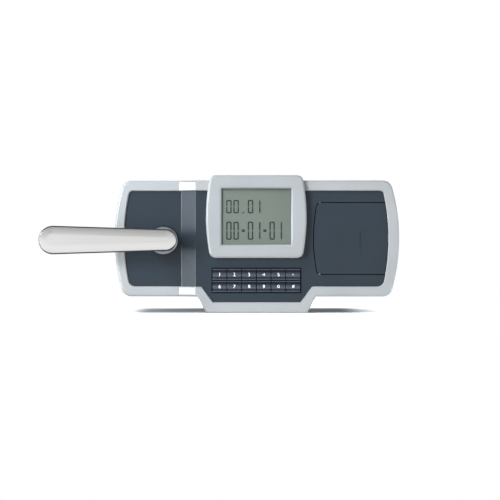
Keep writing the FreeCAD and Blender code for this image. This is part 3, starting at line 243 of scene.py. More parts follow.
# Clear acrylic window: hardly there, only its surface gloss shows
window = {"colour": "#1A1F1C", "alpha": 0.06, "rough": (0.03, 0.075), "wipeMm": 12}


def makeWindow():
    material, tree, place = newMaterial("clearAcrylic")
    wipe = addNode(tree, "ShaderNodeTexNoise", {"Scale": perMm(window["wipeMm"]), "Detail": 3.0},
                   {"Vector": place})
    rough = addNode(tree, "ShaderNodeMapRange", noiseTo(*window["rough"]), {"Value": wipe.outputs["Fac"]})
    shader = addNode(tree, "ShaderNodeBsdfPrincipled", {
        "Base Color": lin(window["colour"]), "Alpha": window["alpha"], "IOR": 1.49,
    }, {"Roughness": rough.outputs["Result"]})
    addNode(tree, "ShaderNodeOutputMaterial", None, {"Surface": shader.outputs["BSDF"]})
    return material


# Reflective liquid crystal cell: grey-green, with the faint weave of its reflector
cell = {"low": "#697066", "high": "#676E64", "roughness": 0.45, "weaveMm": 0.5, "weaveShare": 0.08,
        "paintedShadeFrom": 42.0, "paintedShadeTo": 42.6, "shade": 0.66}  # painted shadow: the cell is drawn darker close under the window's top edge


def makeCellGlass():
    v = cell
    material, tree, place = newMaterial("crystalCell")
    upward = addNode(tree, "ShaderNodeSeparateXYZ", None, {"Vector": place}).outputs["Z"]
    low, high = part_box("lcd_panel")
    fade = addNode(tree, "ShaderNodeMapRange", {"From Min": low.z, "From Max": high.z}, {"Value": upward})
    weave = addNode(tree, "ShaderNodeTexNoise", {"Scale": perMm(v["weaveMm"]), "Detail": 2.0},
                    {"Vector": place})
    shift = addNode(tree, "ShaderNodeMath", {1: v["weaveShare"]},
                    {0: weave.outputs["Fac"], 2: fade.outputs["Result"]}, operation="MULTIPLY_ADD")
    colour = addNode(tree, "ShaderNodeValToRGB", None, {"Fac": shift.outputs[0]},
                     ramp=[(0.0, lin(v["low"])), (1.0, lin(v["high"]))])
    # painted shadow: the colour is scaled darker in a band just under the window's top edge
    under = addNode(tree, "ShaderNodeMapRange", {
        "From Min": v["paintedShadeFrom"] * mm, "From Max": v["paintedShadeTo"] * mm, "To Min": 1.0, "To Max": v["shade"],
    }, {"Value": upward})
    withPaintedShade = addNode(tree, "ShaderNodeVectorMath", None,
                     {0: colour.outputs["Color"], "Scale": under.outputs["Result"]}, operation="SCALE")
    shader = addNode(tree, "ShaderNodeBsdfPrincipled", {"Roughness": v["roughness"]},
                     {"Base Color": withPaintedShade.outputs["Vector"]})
    addNode(tree, "ShaderNodeOutputMaterial", None, {"Surface": shader.outputs["BSDF"]})
    return material


# Fibreglass board under green solder mask, with tracks as a faint lighter relief
board = {"mask": "#0F4326", "track": "#1B6A3C", "trackMm": 2.0}


def makeBoard():
    material, tree, place = newMaterial("solderMask")
    turn = addNode(tree, "ShaderNodeMapping", {"Rotation": (math.pi / 2, 0, 0)}, {"Vector": place})
    tracks = addNode(tree, "ShaderNodeTexBrick", {
        "Scale": perMm(board["trackMm"] * 4), "Mortar Size": 0.04, "Color1": lin(board["mask"]),
        "Color2": lin(board["mask"]), "Mortar": lin(board["track"]), "Brick Width": 1.6, "Row Height": 0.4,
    }, {"Vector": turn.outputs[0]})
    relief = addNode(tree, "ShaderNodeBump", {"Strength": 0.3, "Distance": 0.03 * mm},
                     {"Height": tracks.outputs["Fac"]})
    shader = addNode(tree, "ShaderNodeBsdfPrincipled", {"Roughness": 0.3},
                     {"Base Color": tracks.outputs["Color"], "Normal": relief.outputs["Normal"]})
    addNode(tree, "ShaderNodeOutputMaterial", None, {"Surface": shader.outputs["BSDF"]})
    return material


# Enamelled copper wire, wound: fine ridges along the coil, and painted shade: the colour is darker down in
# the grooves between turns
winding = {"dark": "#6B2F14", "light": "#A5552C", "wireMm": 0.5}


def makeWinding():
    material, tree, place = newMaterial("copperWinding")
    turns = addNode(tree, "ShaderNodeTexWave", {"Scale": perMm(winding["wireMm"]) / (2 * math.pi)},
                    {"Vector": place}, wave_type="BANDS", bands_direction="X")
    # painted shade: the same bands that raise the ridges make the wire darker in the grooves
    colour = addNode(tree, "ShaderNodeValToRGB", None, {"Fac": turns.outputs["Fac"]},
                     ramp=[(0.0, lin(winding["dark"])), (1.0, lin(winding["light"]))])
    relief = addNode(tree, "ShaderNodeBump", {"Strength": 0.6, "Distance": 0.15 * mm},
                     {"Height": turns.outputs["Fac"]})
    shader = addNode(tree, "ShaderNodeBsdfPrincipled", {"Roughness": 0.35, "Coat Weight": 0.5},
                     {"Base Color": colour.outputs["Color"], "Normal": relief.outputs["Normal"]})
    addNode(tree, "ShaderNodeOutputMaterial", None, {"Surface": shader.outputs["BSDF"]})
    return material


# Alkaline cell: a printed metallised jacket, dark for most of its length and copper at the button end
jacket = {"body": "#1B1D20", "band": "#B26A32", "bandShare": 0.26, "rough": (0.28, 0.38), "foilMm": 0.6}


def makeJacket(name, buttonX, flatX):
    material, tree, place = newMaterial(name)
    axes = addNode(tree, "ShaderNodeSeparateXYZ", None, {"Vector": place})
    along = addNode(tree, "ShaderNodeMapRange", {"From Min": buttonX, "From Max": flatX},
                    {"Value": axes.outputs["X"]})
    colour = addNode(tree, "ShaderNodeValToRGB", None, {"Fac": along.outputs["Result"]},
                     ramp=[(0.0, lin(jacket["band"])), (jacket["bandShare"], lin(jacket["body"]))])
    colour.color_ramp.interpolation = "CONSTANT"
    foil = addNode(tree, "ShaderNodeTexNoise", {"Scale": perMm(jacket["foilMm"]), "Detail": 3.0},
                   {"Vector": place})
    rough = addNode(tree, "ShaderNodeMapRange", noiseTo(*jacket["rough"]), {"Value": foil.outputs["Fac"]})
    shader = addNode(tree, "ShaderNodeBsdfPrincipled", {"Metallic": 0.6},
                     {"Base Color": colour.outputs["Color"], "Roughness": rough.outputs["Result"]})
    addNode(tree, "ShaderNodeOutputMaterial", None, {"Surface": shader.outputs["BSDF"]})
    return material


materials["satinNickel"] = makeNickel()
materials["polishedChrome"] = makeChrome()
materials["clearAcrylic"] = makeWindow()
materials["crystalCell"] = makeCellGlass()
materials["solderMask"] = makeBoard()
materials["copperWinding"] = makeWinding()
print("finishes made:", len(materials))


def newObject(name, bm, material):
    mesh = bpy.data.meshes.new(name)
    bm.to_mesh(mesh)
    bm.free()
    mesh.materials.append(material)
    thing = bpy.data.objects.new(name, mesh)
    bpy.context.scene.collection.objects.link(thing)
    return thing


def addPiece(name, bm, finish, body, replaced=(), sharpDegrees=32, weighted=True):
    # a finished mesh becomes a piece that rides on its body
    piece = newObject(name, bm, materials[finish])
    piece.data.shade_smooth()
    piece.data.set_sharp_from_angle(angle=math.radians(sharpDegrees))
    if weighted:
        flats = piece.modifiers.new("flatsStayFlat", "WEIGHTED_NORMAL")
        flats.keep_sharp = True
        flats.weight = 90
    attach(piece, body)
    if replaced:
        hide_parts(*replaced)
    return piece


weld = 0.002 * mm  # points closer than this are one


def mergedCopy(node):
    # the CAD mesh with its doubled points joined
    bm = bmesh.new()
    bm.from_mesh(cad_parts[node].data)
    bmesh.ops.remove_doubles(bm, verts=bm.verts[:], dist=weld)
    bmesh.ops.dissolve_degenerate(bm, dist=weld / 2, edges=bm.edges[:])
    return bm


def joinFlats(bm):
    # the triangles of a flat become one face
    bmesh.ops.dissolve_limit(bm, angle_limit=math.radians(0.3), verts=bm.verts[:], edges=bm.edges[:])


def extrudeBy(bm, faces, vec):
    # a flat shape becomes solid, this far
    grown = bmesh.ops.extrude_face_region(bm, geom=faces, use_keep_orig=True)
    moved = [g for g in grown["geom"] if isinstance(g, bmesh.types.BMVert)]
    bmesh.ops.translate(bm, verts=moved, vec=vec)


# Housing: the silver moulding and the slate panel share a step, whose creases are slightly rounded
step = {  # place across, place outward, size of the rounding and how far it leans to the left
    "frame": ((-68.7, 18.0, 0.4, 0.0), (-54.3, 24.0, 0.4, 0.0)),
    "panel": ((-66.5, 16.0, 0.7, 0.38), (-54.1, 22.0, 0.4, 0.0)),
    "segments": 5,
    "near": 0.02,  # how close to the place an edge has to lie
}


def roundCrease(bm, places):
    # the long upright edges where the front turns into the slope
    joinFlats(bm)
    near = step["near"] * mm
    for x, out, size, lean in places:
        creases = [e for e in bm.edges
                   if all(abs(v.co.x - x * mm) < near and abs(v.co.y + out * mm) < near for v in e.verts)]
        for vert in {v for e in creases for v in e.verts}:
            vert.co.x -= lean * mm
        bmesh.ops.bevel(bm, geom=creases, offset=size * mm, offset_type="OFFSET", affect="EDGES",
                        segments=step["segments"], profile=0.5, material=-1, clamp_overlap=False)
        print("crease at", x, "edges", len(creases))


# the faint corner of grooves on the lid that shows where to press
mark = {"left": 91.4, "right": 108.0, "top": 6.5, "bottom": -7.5, "wide": 0.6, "gapFrom": 95.0,
        "gapTo": 101.9, "deep": 0.3, "slant": 0.05, "near": 0.05}


def engraveMark(bm):
    v = mark
    joinFlats(bm)
    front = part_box("battery_cover")[0].y

    def flats():
        # the faces that lie in the lid's front
        return [f for f in bm.faces
                if f.normal.y < -0.99 and abs(f.calc_center_median().y - front) < v["near"] * mm]

    across = [(Vector((x, 0, 0)), Vector((1, 0, 0)))
              for x in (v["left"], v["left"] + v["wide"], v["gapFrom"], v["gapTo"], v["right"])]
    upward = [(Vector((0, 0, z)), Vector((0, 0, 1))) for z in (v["top"], v["top"] - v["wide"], v["bottom"])]
    for point, normal in across + upward:
        faces = flats()
        parts = faces + list({e for f in faces for e in f.edges}) + list({w for f in faces for w in f.verts})
        bmesh.ops.bisect_plane(bm, geom=parts, plane_co=point * mm, plane_no=normal)
    grooves = []
    for f in flats():
        x, y, z = f.calc_center_median() / mm
        upright = v["left"] < x < v["left"] + v["wide"] and v["bottom"] < z < v["top"]
        level = v["top"] - v["wide"] < z < v["top"]
        dashed = v["left"] < x < v["gapFrom"] or v["gapTo"] < x < v["right"]
        if upright or (level and dashed):
            grooves.append(f)
    bmesh.ops.inset_region(bm, faces=grooves, thickness=v["slant"] * mm, depth=-v["deep"] * mm)
    print("mark faces:", len(grooves))


bezel = {"wider": 1.003, "taller": 1.003}  # the paint and the moulding allowance


def makeHousing():
    silver = mergedCopy("outer_frame")
    roundCrease(silver, step["frame"])
    addPiece("silverFrame", silver, "silverPaint", "housing", ["outer_frame"])
    slate = mergedCopy("fascia")
    roundCrease(slate, step["panel"])
    addPiece("slatePanel", slate, "slateMoulding", "housing", ["fascia"])
    surround = mergedCopy("display_bezel")
    low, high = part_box("display_bezel")
    pivot = Matrix.Translation(Vector((low.x, 0, high.z)))
    bmesh.ops.scale(surround, vec=(bezel["wider"], 1, bezel["taller"]), space=pivot.inverted(),
                    verts=surround.verts[:])
    addPiece("displaySurround", surround, "bezelPaint", "housing", ["display_bezel"])
    lid = mergedCopy("battery_cover")
    engraveMark(lid)
    addPiece("batteryLid", lid, "slateMoulding", "cover", ["battery_cover"])


makeHousing()
print("housing made")


# Lever: a flat bar with round ends, a crowned face and rounded edges, on a neck that leans into it
lever = {"tipX": -175.3, "tipR": 12.3, "hubX": -78.4, "hubR": 9.3, "centreZ": -1.65, "front": 60.0,
         "thick": 9.0, "crown": 1.5, "crownHalf": 13.0, "edge": 1.3, "edgeSteps": 5, "arcSteps": 28,
         "crownRings": 4, "crownRing": 1.6, "spindleX": -82.9, "neckR": 9.0, "neckStart": 15.7,
         "neckStraight": 22.0, "neckSwell": 1.5, "neckSlim": 0.9, "neckLean": 2.7, "neckSteps": 9,
         "neckSink": 1.0, "turnSteps": 48, "journalR": 7.0, "journalEnd": 9.4}


def roundOver(bm, face, radius, steps):
    # rings that roll the face's rim over by a quarter turn
    for i in range(steps):
        a = math.pi / 2 * i / steps
        b = math.pi / 2 * (i + 1) / steps
        bmesh.ops.inset_region(bm, faces=[face], thickness=radius * (math.cos(a) - math.cos(b)),
                               depth=radius * (math.sin(b) - math.sin(a)), use_even_offset=True,
                               use_boundary=True)


def makeLever():
    v = lever
    bm = bmesh.new()
    lean = math.asin((v["tipR"] - v["hubR"]) / (v["hubX"] - v["tipX"]))
    ends = []
    arcs = ((v["tipX"], v["tipR"], -(math.pi + 2 * lean)), (v["hubX"], v["hubR"], math.pi - 2 * lean))
    for x, r, sweep in arcs:
        centre = Vector((x, -v["front"] + v["edge"], v["centreZ"])) * mm
        start = bm.verts.new(centre + Vector((math.sin(lean) * r, 0, math.cos(lean) * r)) * mm)
        spun = bmesh.ops.spin(bm, geom=[start], cent=centre, axis=(0, 1, 0), angle=sweep,
                              steps=v["arcSteps"], use_duplicate=False)
        ends.append((start, [g for g in spun["geom_last"] if isinstance(g, bmesh.types.BMVert)][0]))
    bm.edges.new((ends[0][0], ends[1][0]))
    bm.edges.new((ends[0][1], ends[1][1]))
    face = bmesh.ops.contextual_create(bm, geom=bm.edges[:])["faces"][0]
    face.normal_update()
    if face.normal.y > 0:
        face.normal_flip()
    extrudeBy(bm, [face], (0, (v["thick"] - 2 * v["edge"]) * mm, 0))
    bmesh.ops.recalc_face_normals(bm, faces=bm.faces[:])
    caps = [f for f in bm.faces if len(f.verts) > 4]
    front = min(caps, key=lambda f: f.calc_center_median().y)
    rear = max(caps, key=lambda f: f.calc_center_median().y)
    roundOver(bm, front, v["edge"] * mm, v["edgeSteps"])
    roundOver(bm, rear, v["edge"] * mm, v["edgeSteps"])
    for i in range(v["crownRings"]):
        bmesh.ops.inset_region(bm, faces=[front], thickness=v["crownRing"] * mm, depth=0,
                               use_even_offset=True)
    for vert in bm.verts:
        if vert.co.y < (-v["front"] + v["thick"] / 2) * mm:
            vert.co.y += v["crown"] * mm * ((vert.co.z - v["centreZ"] * mm) / (v["crownHalf"] * mm)) ** 2
    makeNeck(bm)
    addPiece("leverBar", bm, "satinNickel", "handle", ["lever_handle"], sharpDegrees=50)


def makeNeck(bm):
    # rings from the journal up into the bar's back
    v = lever
    low = -v["neckStraight"]
    high = -v["front"] + v["thick"] - v["neckSink"]
    rings = [(-v["journalEnd"], 0.0, v["journalR"], v["journalR"]),
             (-v["neckStart"], 0.0, v["journalR"], v["journalR"]),
             (-v["neckStart"], 0.0, v["neckR"], v["neckR"])]
    for i in range(v["neckSteps"] + 1):
        share = i / v["neckSteps"]
        ease = share ** 2
        swollen = v["neckR"] + v["neckSwell"] * ease
        slim = v["neckR"] * (1 - (1 - v["neckSlim"]) * ease)
        rings.append((low + (high - low) * share, v["neckLean"] * ease, swollen, slim))
    ring = bmesh.ops.create_circle(bm, cap_ends=True, segments=v["turnSteps"], radius=1.0,
                                   matrix=Matrix.Rotation(math.pi / 2, 4, "X"))["verts"]
    edges = list({e for vert in ring for e in vert.link_edges})
    placeRing(ring, rings[0])
    for place in rings[1:]:
        grown = bmesh.ops.extrude_edge_only(bm, edges=edges)["geom"]
        ring = [g for g in grown if isinstance(g, bmesh.types.BMVert)]
        edges = [g for g in grown if isinstance(g, bmesh.types.BMEdge) and all(w in ring for w in g.verts)]
        placeRing(ring, place)
    bmesh.ops.contextual_create(bm, geom=edges)
    bmesh.ops.recalc_face_normals(bm, faces=bm.faces[:])


def placeRing(ring, place):
    # each point keeps its angle and takes the ring's new middle and half widths
    out, lean, halfX, halfZ = place
    centre = sum((v.co for v in ring), Vector()) / len(ring)
    angles = [math.atan2(v.co.z - centre.z, v.co.x - centre.x) for v in ring]
    for vert, a in zip(ring, angles):
        vert.co = Vector((lever["spindleX"] + lean + halfX * math.cos(a), out,
                          lever["centreZ"] + halfZ * math.sin(a))) * mm


makeLever()


# Rose: a chromed ring round the neck, turned from bar, with a fine groove inside its domed rim
rose = {"inner": 9.4, "outer": 13.2, "seat": 16.0, "front": 20.0, "lip": 0.4, "grooveAt": 11.1,
        "grooveWide": 0.5, "grooveDeep": 0.6, "grooveSlope": 0.1, "domeLower": 0.1, "domeDeep": 1.4,
        "domeSteps": 10, "turnSteps": 96}


def makeRose():
    v = rose
    domeFrom = v["grooveAt"] + v["grooveWide"]
    grooveBed = v["front"] - v["grooveDeep"]
    profile = [(v["inner"], v["seat"]), (v["inner"], v["front"] - v["lip"]),
               (v["inner"] + v["lip"], v["front"]), (v["grooveAt"], v["front"]),
               (v["grooveAt"] + v["grooveSlope"], grooveBed), (domeFrom - v["grooveSlope"], grooveBed)]
    for i in range(v["domeSteps"] + 1):
        a = math.pi / 2 * i / v["domeSteps"]
        profile.append((domeFrom + (v["outer"] - domeFrom) * math.sin(a),
                        v["front"] - v["domeLower"] - v["domeDeep"] * (1 - math.cos(a))))
    profile.append((v["outer"], v["seat"]))
    bm = bmesh.new()
    centre = Vector((lever["spindleX"], 0, lever["centreZ"])) * mm
    verts = [bm.verts.new(centre + Vector((r, -out, 0)) * mm) for r, out in profile]
    edges = [bm.edges.new(pair) for pair in zip(verts, verts[1:] + verts[:1])]
    bmesh.ops.spin(bm, geom=verts + edges, cent=centre, axis=(0, 1, 0), angle=2 * math.pi,
                   steps=v["turnSteps"], use_merge=True, use_duplicate=False)
    bmesh.ops.remove_doubles(bm, verts=bm.verts[:], dist=weld / 2)
    bmesh.ops.recalc_face_normals(bm, faces=bm.faces[:])
    addPiece("roseRing", bm, "polishedChrome", "housing", ["handle_rose"])


makeRose()


# Spindle: drawn square bar with rolled corners and a chamfered end
spindle = {"corner": 0.6, "endChamfer": 1.2}


def makeSpindle():
    low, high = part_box("spindle")
    bm = bmesh.new()
    bmesh.ops.create_cube(bm, size=1.0)
    bmesh.ops.scale(bm, vec=high - low, verts=bm.verts[:])
    bmesh.ops.translate(bm, vec=(low + high) / 2, verts=bm.verts[:])
    far = [e for e in bm.edges if all(v.co.y > high.y - weld for v in e.verts)]
    bmesh.ops.bevel(bm, geom=far, offset=spindle["endChamfer"] * mm, affect="EDGES", segments=1, profile=0.5,
                    material=-1)
    long = [e for e in bm.edges if e.calc_length() > (high.y - low.y) / 2]
    bmesh.ops.bevel(bm, geom=long, offset=spindle["corner"] * mm, affect="EDGES", segments=3, profile=0.5,
                    material=-1)
    addPiece("squareSpindle", bm, "zincPlate", "handle", ["spindle"])


makeSpindle()
print("handle made")


# Keys: a barrel between two thin rims, with a sloping channel each side of it, each key on its own body
keyCap = {"rimTop": 0.9, "rimBottom": 1.1, "rimOut": 0.65, "rimRound": 0.06, "wall": 0.06,
          "barrelHalf": 2.9, "barrelDown": 0.4, "barrelOut": 1.4, "footOut": 0.3, "barrelSteps": 16,
          "channelTop": -0.8, "channelBottom": 0.0, "endRound": 0.2, "gridFront": 22.4,
          "flangeDeep": 0.8, "flangeSide": 0.325, "flangeEnd": 0.45}
keyNames = ("1", "2", "3", "4", "5", "star", "6", "7", "8", "9", "0", "hash")


def barrelHeight(z):
    # how far the barrel stands out of the grid at this height from its middle
    v = keyCap
    share = (z + v["barrelDown"]) / v["barrelHalf"]
    return v["footOut"] + (v["barrelOut"] - v["footOut"]) * math.sqrt(max(0.0, 1 - share ** 2))


def keyProfile(half):
    # height from the key's middle and reach out of the grid, from the top rim to the bottom one
    v = keyCap
    points = [(half, v["rimOut"] - v["rimRound"]), (half - v["rimRound"], v["rimOut"]),
              (half - v["rimTop"], v["rimOut"]), (half - v["rimTop"] - v["wall"], v["channelTop"])]
    for i in range(v["barrelSteps"] + 1):
        z = v["barrelHalf"] * math.cos(math.pi * i / v["barrelSteps"]) - v["barrelDown"]
        points.append((z, barrelHeight(z)))
    return points + [(-half + v["rimBottom"] + v["wall"], v["channelBottom"]),
                     (-half + v["rimBottom"], v["rimOut"]), (-half + v["rimRound"], v["rimOut"]),
                     (-half, v["rimOut"] - v["rimRound"])]


def makeKey(name):
    node = "key_" + name
    low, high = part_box(node)
    v = keyCap
    middle = (low + high) / 2
    half = (high.z - low.z) / 2 / mm - v["flangeEnd"]
    left = low.x + v["flangeSide"] * mm
    right = high.x - v["flangeSide"] * mm
    bm = bmesh.new()
    verts = [bm.verts.new((left, -(v["gridFront"] + out) * mm, middle.z + z * mm))
             for z, out in keyProfile(half)]
    verts.append(bm.verts.new((left, high.y, middle.z - half * mm)))
    verts.append(bm.verts.new((left, high.y, middle.z + half * mm)))
    side = bm.faces.new(verts)
    extrudeBy(bm, [side], (right - left, 0, 0))
    bmesh.ops.recalc_face_normals(bm, faces=bm.faces[:])
    ends = [f for f in bm.faces if len(f.verts) > 4]
    rims = [e for f in ends for e in f.edges if max(w.co.y for w in e.verts) < high.y - v["flangeDeep"] * mm]
    bmesh.ops.bevel(bm, geom=rims, offset=v["endRound"] * mm, affect="EDGES", segments=2, profile=0.5,
                    material=-1, clamp_overlap=True)
    flange = bmesh.ops.create_cube(bm, size=1.0)["verts"]
    bmesh.ops.scale(bm, vec=(high.x - low.x, v["flangeDeep"] * mm, high.z - low.z), verts=flange)
    bmesh.ops.translate(bm, vec=(middle.x, high.y - v["flangeDeep"] * mm / 2, middle.z), verts=flange)
    addPiece("keyCap" + name.capitalize(), bm, "keyPlastic", node, [node], sharpDegrees=30)


for name in keyNames:
    makeKey(name)


# Labels: white signs printed on the barrels, a little proud of them
label = {"height": 3.0, "thick": 0.05, "sink": 0.01, "cuts": 0.35, "fontSize": 5.0,
         "signs": {"star": "*", "hash": "#"}, "sizes": {"star": 1.5, "hash": 2.7}}


def makeLabel(name):
    node = "key_" + name
    low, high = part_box(node)
    curve = bpy.data.curves.new("labelCurve", "FONT")
    curve.body = label["signs"].get(name, name)
    curve.size = label["fontSize"] * mm  # only the drawing size: each sign is scaled to its height below
    curve.resolution_u = 4
    holder = bpy.data.objects.new("labelHolder", curve)
    bpy.context.scene.collection.objects.link(holder)
    bpy.context.view_layer.update()
    flat = bpy.data.meshes.new_from_object(holder)
    bpy.data.objects.remove(holder)
    bpy.data.curves.remove(curve)
    bm = bmesh.new()
    bm.from_mesh(flat)
    bpy.data.meshes.remove(flat)
    bmesh.ops.remove_doubles(bm, verts=bm.verts[:], dist=weld)
    xs = [w.co.x for w in bm.verts]
    ys = [w.co.y for w in bm.verts]
    bmesh.ops.translate(bm, vec=(-(min(xs) + max(xs)) / 2, -(min(ys) + max(ys)) / 2, 0),
                        verts=bm.verts[:])
    size = label["sizes"].get(name, label["height"]) * mm / (max(ys) - min(ys))
    bmesh.ops.scale(bm, vec=(size, size, 1), verts=bm.verts[:])
    bmesh.ops.transform(bm, matrix=Matrix.Rotation(math.pi / 2, 4, "X"), verts=bm.verts[:])
    for i in range(1, int(label["height"] / label["cuts"])):  # cut across, so that it can follow the barrel
        z = (-label["height"] / 2 + i * label["cuts"]) * mm
        bmesh.ops.bisect_plane(bm, geom=bm.verts[:] + bm.edges[:] + bm.faces[:], plane_co=(0, 0, z),
                               plane_no=(0, 0, 1))
    extrudeBy(bm, bm.faces[:], (0, -label["thick"] * mm, 0))
    for w in bm.verts:
        w.co.y -= (keyCap["gridFront"] + barrelHeight(w.co.z / mm) - label["sink"]) * mm
    middle = (low + high) / 2
    bmesh.ops.translate(bm, vec=(middle.x, 0, middle.z), verts=bm.verts[:])
    bmesh.ops.recalc_face_normals(bm, faces=bm.faces[:])
    addPiece("keySign" + name.capitalize(), bm, "labelInk", node, weighted=False)


for name in keyNames:
    makeLabel(name)
print("keys made:", len(keyNames))


# Display: two rows of segment figures on one pitch, in front of the crystal cell
rows = {
    "upper": {"text": "00.01", "top": 33.9, "height": 11.8, "stroke": 1.15},
    "lower": {"text": "00-01-01", "top": 14.8, "height": 16.0, "stroke": 1.25},
    "left": -26.9, "pitch": 6.35, "width": 4.85, "gap": 0.22, "thick": 0.03,
    "point": 0.3, "short": 0.4,  # shares of the stroke: cut off each corner, and left out of each upright
    "dot": (1.5, 1.4), "dotUp": 0.7, "dash": (0.64, 1.8),  # the dash in shares of the width and the stroke
}
segmentsOf = {"0": "abcdef", "1": "bc", ".": ["dot"], "-": ["dash"]}


def addBar(bm, x, z, long, stroke, upright):
    # one segment: a bar with pointed ends
    bar = bmesh.ops.create_grid(bm, x_segments=1, y_segments=1, size=0.5)["verts"]
    bmesh.ops.scale(bm, vec=(long * mm, stroke * mm, 1), verts=bar)
    turn = Matrix.Rotation(math.pi / 2, 4, "X") @ Matrix.Rotation(math.pi / 2 * upright, 4, "Z")
    bmesh.ops.transform(bm, matrix=turn, verts=bar)
    bmesh.ops.translate(bm, vec=Vector((x, 0, z)) * mm, verts=bar)
    bmesh.ops.bevel(bm, geom=bar, offset=stroke * rows["point"] * mm, affect="VERTICES", segments=1,
                    profile=0.5, material=-1)


def addFigure(bm, sign, left, row):
    top, height, stroke = row["top"], row["height"], row["stroke"]
    width, gap, half = rows["width"], rows["gap"], height / 2
    leftX, middleX, rightX = left + stroke / 2, left + width / 2, left + width - stroke / 2
    upperZ, lowerZ = top - half / 2 - gap / 2, top - half * 1.5 + gap / 2
    long = half - gap - stroke * rows["short"]
    lines = {
        "a": (middleX, top - stroke / 2, width - stroke, stroke, False),
        "d": (middleX, top - height + stroke / 2, width - stroke, stroke, False),
        "b": (rightX, upperZ, long, stroke, True), "c": (rightX, lowerZ, long, stroke, True),
        "e": (leftX, lowerZ, long, stroke, True), "f": (leftX, upperZ, long, stroke, True),
        "dot": (middleX, top - height + rows["dotUp"], *rows["dot"], False),
        "dash": (middleX, top - half, width * rows["dash"][0], stroke * rows["dash"][1], False),
    }
    for segment in segmentsOf[sign]:
        addBar(bm, *lines[segment])


def makeFigures():
    bm = bmesh.new()
    for row in (rows["upper"], rows["lower"]):
        for i, sign in enumerate(row["text"]):
            addFigure(bm, sign, rows["left"] + i * rows["pitch"], row)
    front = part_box("lcd_panel")[0].y
    extrudeBy(bm, bm.faces[:], (0, -rows["thick"] * mm, 0))
    bmesh.ops.translate(bm, verts=bm.verts[:], vec=(0, front, 0))
    bmesh.ops.recalc_face_normals(bm, faces=bm.faces[:])
    addPiece("segmentFigures", bm, "segmentInk", "housing", weighted=False)


makeFigures()
print("display made")


# Cells: drawn cans with rolled shoulders, the button on one end and a flat on the other
can = {"count": 4, "pitch": 14.9, "length": 50.5, "buttonR": 2.75, "buttonTall": 1.0, "footR": 3.4,
       "footLower": 0.05, "shoulder": 0.9, "shoulderSteps": 4, "flatR": 4.5, "dish": 0.3, "turnSteps": 64}


def canProfile(r):
    # radius, and depth from the button's end, down to the dished flat at the other
    v = can
    bend = v["shoulder"]
    angles = [math.pi / 2 * k / v["shoulderSteps"] for k in range(v["shoulderSteps"] + 1)]
    points = [(0, 0), (v["buttonR"], 0), (v["buttonR"], v["buttonTall"]),
              (v["footR"], v["buttonTall"] + v["footLower"])]
    points += [(r - bend * (1 - math.sin(a)), v["buttonTall"] + bend * (1 - math.cos(a))) for a in angles]
    points += [(r - bend * (1 - math.cos(a)), v["length"] - bend * (1 - math.sin(a))) for a in angles]
    return points + [(v["flatR"], v["length"] - v["dish"]), (0, v["length"] - v["dish"])]


def makeCells():
    low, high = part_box("battery_cells")
    middle = (low + high) / 2
    for i in range(can["count"]):
        z = middle.z + (i - (can["count"] - 1) / 2) * can["pitch"] * mm
        buttonX, toFlat = (high.x, -1) if i % 2 == 0 else (low.x, 1)
        bm = bmesh.new()
        verts = [bm.verts.new((buttonX + toFlat * deep * mm, middle.y - r * mm, z))
                 for r, deep in canProfile((high.y - low.y) / 2 / mm)]
        edges = [bm.edges.new(pair) for pair in zip(verts, verts[1:])]
        bmesh.ops.spin(bm, geom=verts + edges, cent=(0, middle.y, z), axis=(1, 0, 0), angle=2 * math.pi,
                       steps=can["turnSteps"], use_merge=True, use_duplicate=False)
        bmesh.ops.remove_doubles(bm, verts=bm.verts[:], dist=weld)
        bmesh.ops.recalc_face_normals(bm, faces=bm.faces[:])
        jacketName = "cellJacket%d" % (i + 1)
        materials[jacketName] = makeJacket(jacketName, buttonX, buttonX + toFlat * can["length"] * mm)
        addPiece("batteryCell%d" % (i + 1), bm, jacketName, "housing",
                 ["battery_cells"] if i == 0 else ())


makeCells()
print("cells made")


# Round CAD pieces are shown as smooth copies, and flat ones as they are
smoothPieces = {
    "clinch_nuts": "zincPlate", "plate_screws": "zincPlate", "cable_grommet": "blackRubber",
    "display_screws": "zincPlate", "board_screws": "zincPlate", "battery_box_screws": "zincPlate",
    "solenoid_screws": "zincPlate", "board_capacitors": "capacitorSleeve", "buzzer": "blackAbs",
    "battery_springs": "springSteel", "battery_contacts": "contactBrass", "cover_hinge_pin": "springSteel",
    "cover_catch": "springSteel", "battery_box": "blackAbs", "spindle_bush": "naturalNylon",
    "stop_pin": "zincPlate", "return_spring": "springSteel", "solenoid_frame": "zincPlate",
    "solenoid_coil": "copperWinding", "grub_screw": "springSteel", "circlip": "springSteel",
    "cam_disc": "zincPlate", "blocking_plunger": "zincPlate",
}
movingPieces = {"grub_screw": "handle", "circlip": "handle", "cam_disc": "handle",
                "blocking_plunger": "plunger"}  # the others ride on the housing
flatPieces = {
    "mounting_plate": "zincPlate", "display_window": "clearAcrylic", "lcd_panel": "crystalCell",
    "lcd_holder": "blackAbs", "zebra_strips": "blackRubber", "keypad_frame": "keypadGrid",
    "keypad_mat": "siliconeMat", "main_board": "solderMask", "board_chips": "chipEpoxy",
    "cable_socket": "naturalNylon",
}


def plainName(node):
    words = node.split("_")
    return words[0] + "".join(w.capitalize() for w in words[1:])


for node, finish in smoothPieces.items():
    addPiece(plainName(node), mergedCopy(node), finish, movingPieces.get(node, "housing"),
             [node])
for node, finish in flatPieces.items():
    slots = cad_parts[node].material_slots
    if slots:
        slots[0].material = materials[finish]
    else:
        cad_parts[node].data.materials.append(materials[finish])
print("inner pieces dressed:", len(smoothPieces) + len(flatPieces))


# Floor: matt white, exposed well over so that it melts into the background, with a painted shadow, a soft
# dark patch drawn into its colour under and behind the unit, and plain white further off
floor = {"below": -66.3, "reach": 6000.0, "paleFrom": 240.0, "paleTo": 420.0, "exposure": 2.5,
         "paintedShadowAt": (-11.0, 45.0), "paintedShadowCore": (87.0, 22.0), "paintedShadowEdge": (141.0, 112.0), "paintedShadowDepth": 0.902}


